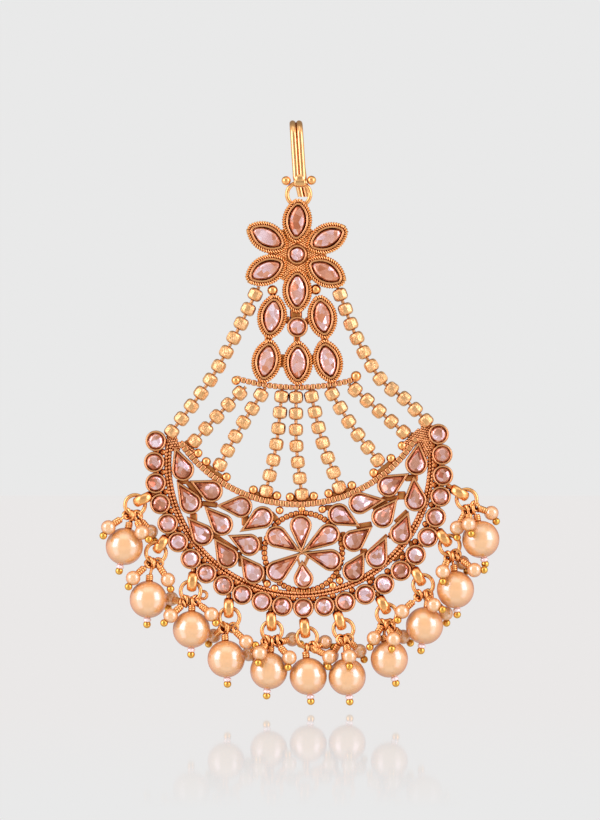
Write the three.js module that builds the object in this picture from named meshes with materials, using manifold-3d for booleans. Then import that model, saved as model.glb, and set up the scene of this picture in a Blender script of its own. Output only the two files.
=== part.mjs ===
// Passa: a hooked side-head ornament of gilt metal, pale crystals and pearls.
//
// Millimetres. +X to the right as seen from the front, +Z up, the front faces -Y.
// The origin is the inside of the hook's bend, where the hair carries the jewel. Everything below
// is drawn about the jewel's own middle plane, which hangs under the hook's front leg.

import * as THREE from 'three';
import { mergeVertices } from 'three/addons/utils/BufferGeometryUtils.js';
import Module from 'manifold-3d';

const wasm = await Module();
wasm.setup();

// ---------------------------------------------------------------- driving dimensions

const GAP = 0.3;            // clearance between separate pieces

// Depths of the soldered settings, measured along Y.
const BACK = 0.9;           // back plane of every setting
const BORDER_FRONT = -0.5;  // rope border round a marquise setting
const RIM_FRONT = -1.5;     // rim of a setting that holds a loose stone
const POCKET_FLOOR = -0.2;  // floor of that setting
const CUP_FRONT = -1.2;     // rim of a small closed setting
const CUP_SLOPE = 0.95;     // width of the slope from that rim to the table of its stone
const STONE_GIRDLE = -1.4;  // where a loose stone begins to slope in
const STONE_FRONT = -1.9;   // table of every stone
const WIRE_FRONT = -0.65;   // front of the flat wires; their backs are flush with the settings'

const RIM_WALL = 0.35;      // thickness of a setting's rim
const STONE_PLAY = 0.36;    // between that rim and a loose stone's outline
const BORDER = 1.0;         // width of the rope border round a marquise rim
const STONE_SLOPE = 0.6;    // width of a stone's bevelled crown

const HOOK_WIRE = 1.3;      // one wire of the double hook
const HOOK_PITCH = 1.6;     // centre to centre of its two wires
const HOOK_DEPTH = 6.6;     // front leg to back leg
const HOOK_FOOT = -15.3;    // lower end of the back leg
const HOOK_LEAN = 0.053;    // the hook leans this much to the left as it rises
const HOOK_KICK = { below: -6, reach: 1.3 };   // the back leg's foot drifts to the right

const PIVOT = { x: 0.62, z: -12.1 };   // ring bar that the hook's knuckle turns on
const KNUCKLE = { inner: 0.82, outer: 1.2, width: 2.4 };
const TOP_RING = { x: 0.66, z: -14.6, halfHeight: 2.85, halfWidth: 2.95, wire: 0.7 };

const PEARL_RADIUS = 4.0;
const PEARL_BORE = 0.7;
const SMALL_PEARL_RADIUS = 1.5;
const PIN_RADIUS = 0.33;
const JUMP_RING = { radius: 2.1, wire: 0.4 };

const BEAD = { radius: 1.45, flat: 1.5, neck: 0.5, tip: 1.25 };

// ---------------------------------------------------------------- finishes

const gilt = { color: 0xd79a4c, metalness: 1, roughness: 0.32 };
const brightGilt = { color: 0xe8b566, metalness: 1, roughness: 0.25 };
const crystal = { color: 0xf0c9bd, metalness: 0, roughness: 0.08 };
const pearl = { color: 0xedc08f, metalness: 0, roughness: 0.25 };

// ---------------------------------------------------------------- solids

// A closed geometry as a solid that can be joined and cut.
function solid(geometry) {
  geometry.deleteAttribute('normal');
  geometry.deleteAttribute('uv');
  const merged = mergeVertices(geometry, 1e-4);
  const corners = merged.index.array;
  const kept = [];
  for (let i = 0; i < corners.length; i += 3) {
    const [a, b, c] = corners.slice(i, i + 3);
    if (a !== b && b !== c && c !== a) kept.push(a, b, c);
  }
  return new wasm.Manifold(new wasm.Mesh({
    numProp: 3,
    vertProperties: new Float32Array(merged.attributes.position.array),
    triVerts: new Uint32Array(kept),
  }));
}

function joined(solids) {
  return solids.reduce((sum, next) => sum.add(next));
}

function named(name, shape, finish) {
  const { vertProperties, triVerts } = shape.getMesh();
  const geometry = new THREE.BufferGeometry();
  geometry.setAttribute('position', new THREE.BufferAttribute(vertProperties, 3));
  geometry.setIndex(new THREE.BufferAttribute(triVerts, 1));
  geometry.computeVertexNormals();
  const mesh = new THREE.Mesh(geometry, new THREE.MeshStandardMaterial(finish));
  mesh.name = name;
  return mesh;
}

// ---------------------------------------------------------------- outlines in the plane of the jewel

const radians = THREE.MathUtils.degToRad;

function polar(radius, degrees) {
  return new THREE.Vector2(radius * Math.cos(radians(degrees)), radius * Math.sin(radians(degrees)));
}

// Outline turned by some degrees, then moved to a centre.
function placed(points, { x, z, turn = 0 }) {
  const centre = new THREE.Vector2(x, z);
  return points.map((p) => p.clone().rotateAround(new THREE.Vector2(), radians(turn)).add(centre));
}

// Regular outline whose flats lie `radius` from the centre, one of them facing +X.
function roundOutline(radius, sides = 8) {
  const corner = radius / Math.cos(Math.PI / sides);
  return Array.from({ length: sides }, (_, i) => polar(corner, ((i + 0.5) * 360) / sides));
}

// Two equal arcs that meet in points up and down. A negative inset grows it.
function marquiseOutline(length, width, inset = 0, steps = 3) {
  const radius = (length * length + width * width) / (4 * width) - inset;
  const offset = radius + inset - width / 2;
  const half = Math.acos(offset / radius);
  const side = Array.from({ length: steps }, (_, i) => {
    const angle = -half + (2 * half * i) / steps;
    return new THREE.Vector2(radius * Math.cos(angle) - offset, radius * Math.sin(angle));
  });
  return [...side, ...side.map((p) => p.clone().negate())];
}

// Round end at the centre, point at `reach` up from it.
function pearOutline(reach, radius, inset = 0, steps = 5) {
  const shrink = (radius - inset) / radius;
  const half = Math.acos(radius / reach);
  const arc = Array.from({ length: steps + 1 }, (_, i) => {
    const angle = Math.PI / 2 + half + ((2 * Math.PI - 2 * half) * i) / steps;
    return new THREE.Vector2(Math.cos(angle), Math.sin(angle)).multiplyScalar(radius * shrink);
  });
  return [new THREE.Vector2(0, reach * shrink), ...arc];
}

// ---------------------------------------------------------------- pieces raised from an outline

function prism(points, front, back, hole) {
  const shape = new THREE.Shape(points);
  if (hole) shape.holes.push(new THREE.Path(hole));
  const geometry = new THREE.ExtrudeGeometry(shape, { depth: back - front, bevelEnabled: false });
  return solid(geometry.translate(0, 0, -back).rotateX(Math.PI / 2));
}

// Solid whose skin runs through rings of corners, each with the same count, and two capped ends.
function skin(corners, count, firstCap, lastCap) {
  const last = corners.length / 3 - count;
  const faces = [];
  for (let ring = 0; ring < last; ring += count) {
    for (let i = 0; i < count; i += 1) {
      const [a, b] = [ring + i, ring + ((i + 1) % count)];
      faces.push(a, b, b + count, a, b + count, a + count);
    }
  }
  for (const [a, b, c] of firstCap) faces.push(c, b, a);
  for (const face of lastCap) faces.push(...face.map((i) => last + i));
  const geometry = new THREE.BufferGeometry();
  geometry.setAttribute('position', new THREE.Float32BufferAttribute(corners, 3));
  geometry.setIndex(faces);
  return solid(geometry);
}

// One outline drawn at several insets and depths: from its back plane, through each step
// [inset, y] in turn, to the last outline, which is filled.
function stepped(outline, place, steps) {
  const rings = steps.map(([inset]) => placed(outline(inset), place));
  const corners = rings.flatMap((ring, k) => ring.flatMap((p) => [p.x, steps[k][1], p.y]));
  const fill = (ring) => THREE.ShapeUtils.triangulateShape(ring, []);
  return skin(corners, rings[0].length, fill(rings[0]), fill(rings.at(-1)));
}

// Flat curved wire from one angle to another about a centre.
function arcWire({ x, z, radius, width, from, to, segments }) {
  const angles = Array.from({ length: segments + 1 }, (_, i) => from + ((to - from) * i) / segments);
  const outer = angles.map((angle) => polar(radius + width / 2, angle));
  const inner = angles.map((angle) => polar(radius - width / 2, angle)).reverse();
  return prism(placed([...outer, ...inner], { x, z }), WIRE_FRONT, BACK);
}

// Point in the middle plane of the jewel.
function inPlane(x, z) {
  return new THREE.Vector3(x, 0, z);
}

// Faceted ball with one facet square to the wire that comes from `origin`.
function facetedBall(Geometry, centre, radius, origin) {
  const facing = new THREE.Vector3(1, 1, 1).normalize();
  const towards = new THREE.Vector3().subVectors(origin, centre).normalize();
  const turn = new THREE.Quaternion().setFromUnitVectors(facing, towards);
  const geometry = new Geometry(radius, 0).applyQuaternion(turn);
  return solid(geometry.translate(centre.x, centre.y, centre.z));
}

// Round wire along a line of points in order, mitred where it bends.
function wire(points, radius, sides) {
  const corners = [];
  points.forEach((point, k) => {
    const before = points[Math.max(k - 1, 0)];
    const after = points[Math.min(k + 1, points.length - 1)];
    const along = new THREE.Vector3().subVectors(after, before).normalize();
    const across = new THREE.Vector3(-along.z, 0, along.x).normalize();
    const aside = new THREE.Vector3().crossVectors(along, across);
    for (let i = 0; i < sides; i += 1) {
      const { x, y } = polar(radius, (i * 360) / sides);
      corners.push(...point.clone().addScaledVector(across, x).addScaledVector(aside, y).toArray());
    }
  });
  const cap = THREE.ShapeUtils.triangulateShape(roundOutline(1, sides), []);
  return skin(corners, sides, cap, cap);
}

// Closed setting with its stone: a plain cup, and the stone's crown sloping in from its rim.
function closedSetting(outline, place) {
  return stepped(outline, place, [[0, BACK], [0, CUP_FRONT], [CUP_SLOPE, STONE_FRONT]]);
}

// Setting for a loose stone, before its pocket is cut; `border` is a rope border's width.
function rimmedSetting(outline, place, border) {
  const step = border ? [[-border, BACK], [-border, BORDER_FRONT], [0, BORDER_FRONT]] : [[0, BACK]];
  return stepped(outline, place, [...step, [0, RIM_FRONT]]);
}

function pocket(outline, place) {
  return prism(placed(outline(RIM_WALL), place), RIM_FRONT - 1, POCKET_FLOOR);
}

function looseStone(outline, place) {
  return stepped(outline, place, [
    [RIM_WALL + STONE_PLAY, POCKET_FLOOR - GAP],
    [RIM_WALL + STONE_PLAY, STONE_GIRDLE],
    [RIM_WALL + STONE_PLAY + STONE_SLOPE, STONE_FRONT],
  ]);
}

// ---------------------------------------------------------------- hook

// Figure-of-eight section of the double wire, round its middle.
function doubleWireSection() {
  const lobe = HOOK_WIRE / 2;
  const side = HOOK_PITCH / 2;
  const right = [[side, -lobe], [side + lobe, 0], [side, lobe]];
  const left = right.map(([u, v]) => [-u, -v]);
  return [[0, -lobe / 2], ...right, [0, lobe / 2], ...left].map(([u, v]) => new THREE.Vector2(u, v));
}

// Side view of the hook, in the plane x = 0: up the front leg, over the bend, down the back leg.
function hookRoute() {
  const bend = HOOK_DEPTH / 2;
  const crest = HOOK_WIRE / 2 - bend;
  const points = [new THREE.Vector3(0, 0, PIVOT.z + KNUCKLE.inner + 0.1)];
  for (let angle = 180; angle >= 0; angle -= 30) {
    const { x, y } = polar(bend, angle);
    points.push(new THREE.Vector3(0, bend + x, crest + y));
  }
  points.push(new THREE.Vector3(0, HOOK_DEPTH, HOOK_FOOT));
  return new THREE.CatmullRomCurve3(points);
}

// Moves the lower part of the back leg sideways, most at its foot.
function kickFoot({ attributes: { position } }) {
  const drop = HOOK_KICK.below - HOOK_FOOT;
  for (let i = 0; i < position.count; i += 1) {
    const below = Math.max(0, HOOK_KICK.below - position.getZ(i)) / drop;
    const behind = position.getY(i) > HOOK_DEPTH / 2 ? 1 : 0;
    position.setX(i, position.getX(i) + behind * HOOK_KICK.reach * below ** 2);
  }
}

function hairHook() {
  const doubleWire = new THREE.ExtrudeGeometry(new THREE.Shape(doubleWireSection()), {
    steps: 12,
    extrudePath: hookRoute(),
    bevelEnabled: false,
  });
  const lean = new THREE.Matrix4().makeShear(0, 0, 0, 0, -HOOK_LEAN, 0);
  kickFoot(doubleWire.translate(0, 0, -PIVOT.z).applyMatrix4(lean).translate(PIVOT.x, 0, PIVOT.z));
  const drum = (radius, width) => solid(
    new THREE.CylinderGeometry(radius, radius, width, 10)
      .rotateZ(Math.PI / 2)
      .translate(PIVOT.x, 0, PIVOT.z),
  );
  return solid(doubleWire)
    .add(drum(KNUCKLE.outer, KNUCKLE.width))
    .subtract(drum(KNUCKLE.inner, KNUCKLE.width + 1));
}

// ---------------------------------------------------------------- crown

const FLOWER = { x: 0.25, z: -27.5 };
const FLOWER_PLATE = { radius: 6.2, front: 0.1 };   // the petals are soldered to it
const MARQUISE = { length: 7.8, width: 4.4 };
const marquise = (inset) => marquiseOutline(MARQUISE.length, MARQUISE.width, inset);

// Petals round the flower's centre: direction, and how far out the middle of the stone lies.
const PETALS = [
  { at: 90, out: 7.2, twist: -4 },
  { at: 28.7, out: 7.3, twist: -3 },
  { at: -31.3, out: 7.1, twist: 1 },
  { at: -90, out: 7.7, twist: 0 },
  { at: -153.3, out: 7.4, twist: -1 },
  { at: 150, out: 7.4, twist: 2 },
];

const TIERS = [
  { x: -5.1, z: -40.7, turn: -8.5 },
  { x: 5.6, z: -40.8, turn: 9 },
  { x: -6.3, z: -50.2, turn: -10.5 },
  { x: 0.4, z: -50.6, turn: 0 },
  { x: 6.8, z: -50.2, turn: 13.5 },
];

const CROWN_ROUNDS = [
  { x: 0.25, z: -27.5, radius: 2.05 },
  { x: 0.3, z: -42.9, radius: 2.2 },
];

// Solder bridges between settings, as short flat blocks.
const CROWN_TIES = [
  { x: 0.0, z: -40.2, width: 2.6, height: 2.6 },
  { x: -2.3, z: -41.4, width: 2.0, height: 1.6 },
  { x: 2.9, z: -41.6, width: 2.0, height: 1.6 },
  { x: 0.2, z: -45.6, width: 1.4, height: 1.6 },
  { x: -5.9, z: -45.4, width: 1.6, height: 1.4 },
  { x: 6.1, z: -45.5, width: 1.6, height: 1.4 },
  { x: -3.0, z: -50.1, width: 2.0, height: 2.8 },
  { x: 3.5, z: -49.8, width: 1.6, height: 2.0 },
];

// The bar hangs in an arc that sags towards its middle.
const BAR = { x: 0.3, z: -11.8, radius: 44, width: 1.3, from: 252.6, to: 287.0 };

function petalPlaces() {
  return PETALS.map(({ at, out, twist }) => {
    const middle = polar(out, at);
    return { x: FLOWER.x + middle.x, z: FLOWER.z + middle.y, turn: at - 90 + twist };
  });
}

// Corners of the right half of the top ring, as shares of its half width and half height.
const RING_CORNERS = [[0.55, 1], [0.88, 0.77], [1, 0.28], [0.93, -0.39], [0.64, -0.81], [0.24, -1]];

function topRing() {
  const { x, z, halfWidth, halfHeight, wire } = TOP_RING;
  const loop = (inset) => {
    const right = RING_CORNERS.map(([u, v]) => [u * (halfWidth - inset), v * (halfHeight - inset)]);
    const left = right.map(([u, v]) => [-u, v]);
    return [...right.reverse(), ...left].map(([u, v]) => new THREE.Vector2(x + u, z + v));
  };
  return prism(loop(0), -wire / 2, wire / 2, loop(wire));
}

function crownFrame() {
  const parts = [topRing()];
  const marquisePlaces = [...petalPlaces(), ...TIERS];
  for (const place of marquisePlaces) parts.push(rimmedSetting(marquise, place, BORDER));
  for (const place of CROWN_ROUNDS) {
    parts.push(closedSetting((inset) => roundOutline(place.radius - inset), place));
  }
  parts.push(prism(placed(roundOutline(FLOWER_PLATE.radius, 8), FLOWER), FLOWER_PLATE.front, BACK));
  for (const { x, z, width, height } of CROWN_TIES) {
    const block = new THREE.BoxGeometry(width, BACK - WIRE_FRONT, height);
    parts.push(solid(block.translate(x, (BACK + WIRE_FRONT) / 2, z)));
  }
  parts.push(arcWire({ ...BAR, segments: 8 }));
  return joined(parts).subtract(joined(marquisePlaces.map((place) => pocket(marquise, place))));
}

// ---------------------------------------------------------------- crescent, about its own centre

const CRESCENT = { x: 0.75, z: -71.9, tilt: 1.5 };
const RIM = { radius: 31.0, stones: 25, pitch: 8.35, cup: 2.05 };
const LOWER_WIRE = { x: 0, z: 0, radius: 28.2, width: 1.5, from: 170, to: 370, segments: 20 };
const UPPER_WIRE = { x: 0, z: 21.1, radius: 29.9, width: 1.3, from: 214.5, to: 325.5, segments: 14 };
const CIRCLE = { x: 0.3, z: -19.0, radius: 8.3, width: 1.0 };

// Pear settings of one wing: the round end's centre, and the direction its point faces.
const WING = [
  { x: 24.9, z: -0.6, points: 77 },
  { x: 18.8, z: -5.65, points: 31 },
  { x: 24.0, z: -8.1, points: 76 },
  { x: 12.8, z: -8.9, points: 4 },
  { x: 8.1, z: -11.2, points: -34 },
  { x: 17.0, z: -12.5, points: 48 },
  { x: 21.2, z: -15.0, points: 58 },
  { x: 11.2, z: -17.1, points: 30 },
  { x: 16.0, z: -20.2, points: 61 },
  { x: 10.7, z: -23.2, points: 54 },
];
const WING_PEAR = { reach: 5.4, radius: 2.4 };

// Pear settings of the flower inside the circle: direction, and distance of the round end's centre.
const FLOWER_PEARS = [
  { at: 90, out: 5.7 },
  { at: 32, out: 7.0 },
  { at: -16, out: 6.5 },
  { at: -86, out: 5.6 },
  { at: -144, out: 6.6 },
  { at: 146, out: 6.3 },
];
const FLOWER_CENTRE = { x: -0.1, z: -19.1 };
const FLOWER_PEAR_RADIUS = 2.35;
const FLOWER_PEAR_TIP = 0.3;    // from the flower's centre to the pears' points

// Strap that carries a drop, measured from the middle of its eye.
const LUG = { neck: 2.2, reach: 1.95, tail: 3.3, narrow: 1.4, width: 3.8, thickness: 1.3, eye: 1.15 };

// Solder bridges of one wing, where pears do not touch by themselves.
const WING_TIES = [
  { x: 8.0, z: -14.4 },
  { x: 12.6, z: -19.7 },
  { x: 21.7, z: -7.3 },
];
const TIE_RADIUS = 1.1;
const TOP_TIE = { x: 0.2, z: -9.8, radius: 1.3 };   // between the upper wire and the circle

// Corners, as x and z, of the plate at a tip of the crescent, between its two wires.
const TIP_PLATE = [[25.2, 6.4], [28.2, 4.6], [28.4, 1.5], [24.8, 3.4], [21.0, 3.2], [22.6, 5.2]];

function rimAngle(slot) {
  return -90 + (slot - (RIM.stones - 1) / 2) * RIM.pitch;
}

function flowerPearPlaces() {
  return FLOWER_PEARS.map(({ at, out }) => {
    const middle = polar(out, at);
    return {
      outline: (inset) => pearOutline(out - FLOWER_PEAR_TIP, FLOWER_PEAR_RADIUS, inset),
      place: { x: FLOWER_CENTRE.x + middle.x, z: FLOWER_CENTRE.z + middle.y, turn: at + 90 },
    };
  });
}

function lugCentre({ slot, root, lug }) {
  return polar(root, rimAngle(slot)).add(polar(LUG.neck, lug));
}

// A lug stands edge-on to the front: a strap with a round eye, its tail soldered between two cups.
function lugSolid(drop) {
  const { reach, tail, narrow, width, thickness, eye } = LUG;
  const edge = [[-tail, narrow / 2], [0, width / 2], [reach, narrow / 2]];
  const outline = [...edge.map(([u, v]) => [u, -v]), ...edge.reverse()];
  const shape = new THREE.Shape(outline.map(([u, v]) => new THREE.Vector2(u, v)));
  shape.holes.push(new THREE.Path(roundOutline(eye, 5)));
  const strap = new THREE.ExtrudeGeometry(shape, { depth: thickness, bevelEnabled: false });
  const centre = lugCentre(drop);
  strap.translate(0, 0, -thickness / 2).rotateY(-radians(drop.lug)).translate(centre.x, 0, centre.y);
  return solid(strap);
}

function wingPlaces() {
  return [1, -1].flatMap((side) => WING.map(({ x, z, points }) => ({
    x: side * x,
    z,
    turn: side * (points - 90),
  })));
}

function crescentFrame() {
  const parts = [arcWire(LOWER_WIRE), arcWire(UPPER_WIRE)];
  const circle = (radius) => placed(roundOutline(radius, 14), CIRCLE);
  const half = CIRCLE.width / 2;
  parts.push(prism(circle(CIRCLE.radius + half), WIRE_FRONT, BACK, circle(CIRCLE.radius - half)));
  for (let i = 0; i < RIM.stones; i += 1) {
    const { x, y } = polar(RIM.radius, rimAngle(i));
    const place = { x, z: y, turn: rimAngle(i) };
    parts.push(closedSetting((inset) => roundOutline(RIM.cup - inset, 7), place));
  }
  for (const place of wingPlaces()) {
    const { reach, radius } = WING_PEAR;
    parts.push(closedSetting((inset) => pearOutline(reach, radius, inset), place));
  }
  const flower = flowerPearPlaces();
  for (const { outline, place } of flower) parts.push(rimmedSetting(outline, place));
  for (const side of [1, -1]) {
    for (const { x, z } of WING_TIES) {
      parts.push(prism(placed(roundOutline(TIE_RADIUS, 4), { x: side * x, z }), WIRE_FRONT, BACK));
    }
    parts.push(prism(TIP_PLATE.map(([x, z]) => new THREE.Vector2(side * x, z)), WIRE_FRONT, BACK));
  }
  parts.push(prism(placed(roundOutline(TOP_TIE.radius, 4), TOP_TIE), WIRE_FRONT, BACK));
  for (const drop of DROPS) parts.push(lugSolid(drop));
  return joined(parts).subtract(joined(flower.map(({ outline, place }) => pocket(outline, place))));
}

// ---------------------------------------------------------------- bead strings

// Strings of barrel beads. Each runs in a smooth curve through the centres, as x and z, of its
// first bead, one or more beads between, and its last bead.
const STRINGS = [
  { name: 'string_a', beads: 5, through: [[-12.2, -57.2], [-16.6, -61.7], [-20.9, -66.2]] },
  { name: 'string_b', beads: 6, through: [[-7.5, -58.1], [-12.1, -64.7], [-16.1, -72.3]] },
  { name: 'string_c', beads: 7, through: [[-3.0, -58.2], [-4.1, -68.0], [-6.4, -77.7]] },
  { name: 'string_d', beads: 7, through: [[0.15, -58.3], [0.2, -68.3], [1.2, -78.4]] },
  { name: 'string_e', beads: 7, through: [[3.5, -58.2], [5.8, -67.5], [9.2, -76.9]] },
  { name: 'string_f', beads: 6, through: [[7.9, -57.8], [12.0, -64.3], [17.4, -71.2]] },
  { name: 'string_g', beads: 5, through: [[12.7, -56.6], [17.6, -60.7], [22.4, -64.6]] },
  {
    name: 'string_left',
    beads: 11,
    through: [[-8.7, -36.0], [-13.1, -44.9], [-18.3, -54.2], [-26.5, -65.2]],
  },
  {
    name: 'string_right',
    beads: 11,
    through: [[9.4, -36.0], [12.9, -45.1], [18.0, -54.0], [23.2, -58.3], [27.7, -62.9]],
  },
];

function stringCurve({ through }) {
  return new THREE.CatmullRomCurve3(through.map(([x, z]) => inPlane(x, z)));
}

// A stretch of a string: beads `from` to `to` of it, counted from its top, joined at their necks.
function stretch(curve, beads, from, to) {
  const pitch = curve.getLength() / (beads - 1);
  const split = pitch / 2 - GAP / 2;
  const profile = [[BEAD.neck, from * pitch - (from === 0 ? BEAD.tip : split)]];
  for (let i = from; i <= to; i += 1) {
    if (i > from) profile.push([BEAD.neck, (i - 0.5) * pitch]);
    profile.push([BEAD.radius, i * pitch - BEAD.flat / 2], [BEAD.radius, i * pitch + BEAD.flat / 2]);
  }
  profile.push([BEAD.neck, to * pitch + (to === beads - 1 ? BEAD.tip : split)]);
  const ends = [[0, profile[0][1]], [0, profile[profile.length - 1][1]]];
  const outline = [ends[0], ...profile, ends[1]].map(([r, along]) => new THREE.Vector2(r, along));
  const string = new THREE.LatheGeometry(outline, 5);
  const length = curve.getLength();
  const { position } = string.attributes;
  for (let i = 0; i < position.count; i += 1) {
    const along = THREE.MathUtils.clamp(position.getY(i) / length, 0, 1);
    const centre = curve.getPointAt(along);
    const tangent = curve.getTangentAt(along);
    const across = new THREE.Vector3(-tangent.z, 0, tangent.x);
    centre.addScaledVector(tangent, position.getY(i) - along * length);
    centre.addScaledVector(across, position.getX(i));
    position.setXYZ(i, centre.x, position.getZ(i), centre.z);
  }
  return solid(string);
}

const LONGEST_STRETCH = 7;   // beads in the longest undivided string
const STRETCH_BEADS = 4;     // a longer one is divided into stretches of up to this many

function bentString(row) {
  const curve = stringCurve(row);
  if (row.beads <= LONGEST_STRETCH) {
    return [named(row.name, stretch(curve, row.beads, 0, row.beads - 1), brightGilt)];
  }
  const pieces = [];
  for (let from = 0; from < row.beads; from += STRETCH_BEADS) {
    const to = Math.min(from + STRETCH_BEADS, row.beads) - 1;
    const name = `${row.name}_${pieces.length + 1}`;
    pieces.push(named(name, stretch(curve, row.beads, from, to), brightGilt));
  }
  return pieces;
}

// ---------------------------------------------------------------- pearl drops

// One row for each drop, from left to right. `slot` counts rim stones from the left, `root` is the
// lug's distance from the crescent's centre and `lug` its direction. `ringLean` and `pinLean` are
// the jump ring's and the head pin's lean from the vertical. x and z are the large pearl's centre,
// and `small` gives the small pearls' centres about it, as x, y and z.
const DROPS = [
  {
    slot: 2.5, root: 32.1, lug: -156, ringLean: -54, x: -36.6, z: -89.7, pinLean: -12,
    small: [[-3.35, -2.4, 4.1], [3.8, -3.2, 3.05], [5.6, 1.5, 3.1]],
  },
  {
    slot: 4.5, root: 32.2, lug: -128, ringLean: -32, x: -31.5, z: -101.0, pinLean: -3,
    small: [[-3.2, -1.6, 4.6], [4.2, -0.6, 4.2]],
  },
  {
    slot: 6.5, root: 32.3, lug: -98, ringLean: -10, x: -22.3, z: -107.4, pinLean: -1,
    small: [[-4.4, 3.5, 6.4], [-4.4, -2.4, 3.0], [4.3, -2.1, 3.3]],
  },
  {
    slot: 8.5, root: 32.4, lug: -92, ringLean: 4, x: -14.9, z: -113.7, pinLean: 3,
    small: [[-2.7, 3.2, 4.8], [4.3, -1.4, 3.7]],
  },
  {
    slot: 10.5, root: 32.1, lug: -88, ringLean: 3, x: -5.8, z: -116.2, pinLean: -5,
    small: [[-4.3, 3.3, 3.4], [-1.9, -3.9, 3.9], [4.4, -2.5, 2.9], [5.0, 2.5, 6.6]],
  },
  {
    slot: 12, root: 33.0, lug: -85, ringLean: 14, x: 2.6, z: -117.4, pinLean: 6,
    small: [[4.5, -1.7, 4.2], [3.6, 1.6, 7.2]],
  },
  {
    slot: 13.5, root: 32.4, lug: -73, ringLean: 23, x: 10.9, z: -117.5, pinLean: 6,
    small: [[0.45, -3.7, 4.5], [2.65, 1.6, 5.4], [-3.3, 2.0, 4.4]],
  },
  {
    slot: 15.5, root: 32.9, lug: -63, ringLean: 20, x: 19.9, z: -113.7, pinLean: 15,
    small: [[-3.3, -1.8, 4.5], [0.8, -3.8, 4.35], [3.0, 2.9, 4.6]],
  },
  {
    slot: 17.5, root: 32.9, lug: -62, ringLean: 30, x: 27.4, z: -106.6, pinLean: -8,
    small: [[-4.8, -2.4, 3.1], [1.9, -3.2, 4.5], [4.6, 2.6, 2.5]],
  },
  {
    slot: 19.5, root: 32.6, lug: -52, ringLean: 38, x: 34.0, z: -98.9, pinLean: 4,
    small: [[-2.8, -3.3, 3.9], [4.0, -1.2, 4.2], [1.5, 1.6, 5.7]],
  },
  {
    slot: 21.5, root: 32.6, lug: -33, ringLean: 48, x: 39.4, z: -88.2, pinLean: 10,
    small: [[-5.1, -1.6, 2.5], [-2.7, -4.0, 3.3], [2.3, 1.1, 5.6]],
  },
];

const PIN = { top: 4.7, reach: 5.1, ball: 0.85 };   // along its axis, from the large pearl's centre
const KNOT_RADIUS = 1.1;    // coiled wire ends under the jump ring
const STEM_CLEAR = PEARL_RADIUS + 1.0;

// Unit vector that points down, leaning to the right by some degrees.
function leaning(degrees) {
  return new THREE.Vector3(Math.sin(radians(degrees)), 0, -Math.cos(radians(degrees)));
}

// Centre of the jump ring, which passes through the lug's eye.
function ringCentre(drop, crescentPlace) {
  const eye = lugCentre(drop);
  const crossing = inPlane(eye.x, eye.y).applyMatrix4(crescentPlace);
  return crossing.addScaledVector(leaning(drop.ringLean), JUMP_RING.radius);
}

// Small pearl on a thin wire from the knot, bent outwards where it would touch the large pearl.
function smallPearl(knot, end, pearlMiddle) {
  const bend = knot.clone().lerp(end, 0.6).sub(pearlMiddle);
  const bends = bend.length() < STEM_CLEAR ? [bend.setLength(STEM_CLEAR).add(pearlMiddle)] : [];
  const route = [knot, ...bends, end];
  const bead = facetedBall(THREE.IcosahedronGeometry, end, SMALL_PEARL_RADIUS, route.at(-2));
  return wire(route, PIN_RADIUS, 3).add(bead);
}

function dropFindings(drop, crescentPlace) {
  const centre = ringCentre(drop, crescentPlace);
  const ring = new THREE.TorusGeometry(JUMP_RING.radius, JUMP_RING.wire, 3, 7);
  ring.rotateX(Math.PI / 2).rotateY(-radians(drop.ringLean)).translate(centre.x, 0, centre.z);
  const down = leaning(drop.pinLean);
  const pearlMiddle = inPlane(drop.x, drop.z);
  const pinTop = pearlMiddle.clone().addScaledVector(down, -PIN.top);
  const pinEnd = pearlMiddle.clone().addScaledVector(down, PIN.reach);
  const knot = pinTop.clone().sub(centre).setLength(JUMP_RING.radius + 0.3).add(centre);
  const parts = [
    solid(ring),
    facetedBall(THREE.OctahedronGeometry, knot, KNOT_RADIUS, pinTop),
    wire([knot, pinTop, pinEnd], PIN_RADIUS, 3),
    facetedBall(THREE.OctahedronGeometry, pinEnd, PIN.ball, pinTop),
  ];
  for (const offset of drop.small) {
    const end = new THREE.Vector3(...offset).add(pearlMiddle);
    parts.push(smallPearl(knot, end, pearlMiddle));
  }
  return joined(parts);
}

// A pearl drilled along its pin.
function largePearl(drop) {
  const steps = 4;
  const half = Math.sqrt(PEARL_RADIUS ** 2 - PEARL_BORE ** 2);
  const mouth = Math.asin(PEARL_BORE / PEARL_RADIUS);
  const profile = Array.from({ length: steps + 1 }, (_, i) => {
    const angle = mouth + ((Math.PI - 2 * mouth) * i) / steps;
    return new THREE.Vector2(PEARL_RADIUS * Math.sin(angle), -PEARL_RADIUS * Math.cos(angle));
  });
  profile.push(new THREE.Vector2(PEARL_BORE, -half));
  const geometry = new THREE.LatheGeometry(profile, 8);
  geometry.rotateX(Math.PI / 2).rotateY(radians(-drop.pinLean)).translate(drop.x, 0, drop.z);
  return solid(geometry);
}

// ---------------------------------------------------------------- the whole jewel

const jewel = new THREE.Group();
jewel.position.y = -HOOK_DEPTH / 2;
jewel.add(named('hair_hook', hairHook(), brightGilt));
jewel.add(named('crown_frame', crownFrame(), gilt));
petalPlaces().forEach((place, i) => {
  jewel.add(named(`petal_stone_${i + 1}`, looseStone(marquise, place), crystal));
});
TIERS.forEach((place, i) => {
  jewel.add(named(`tier_stone_${i + 1}`, looseStone(marquise, place), crystal));
});

const crescent = new THREE.Group();
crescent.position.set(CRESCENT.x, 0, CRESCENT.z);
crescent.rotation.y = radians(-CRESCENT.tilt);
crescent.updateMatrix();
crescent.add(named('crescent_frame', crescentFrame(), gilt));
flowerPearPlaces().forEach(({ outline, place }, i) => {
  crescent.add(named(`flower_stone_${i + 1}`, looseStone(outline, place), crystal));
});
jewel.add(crescent);

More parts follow.
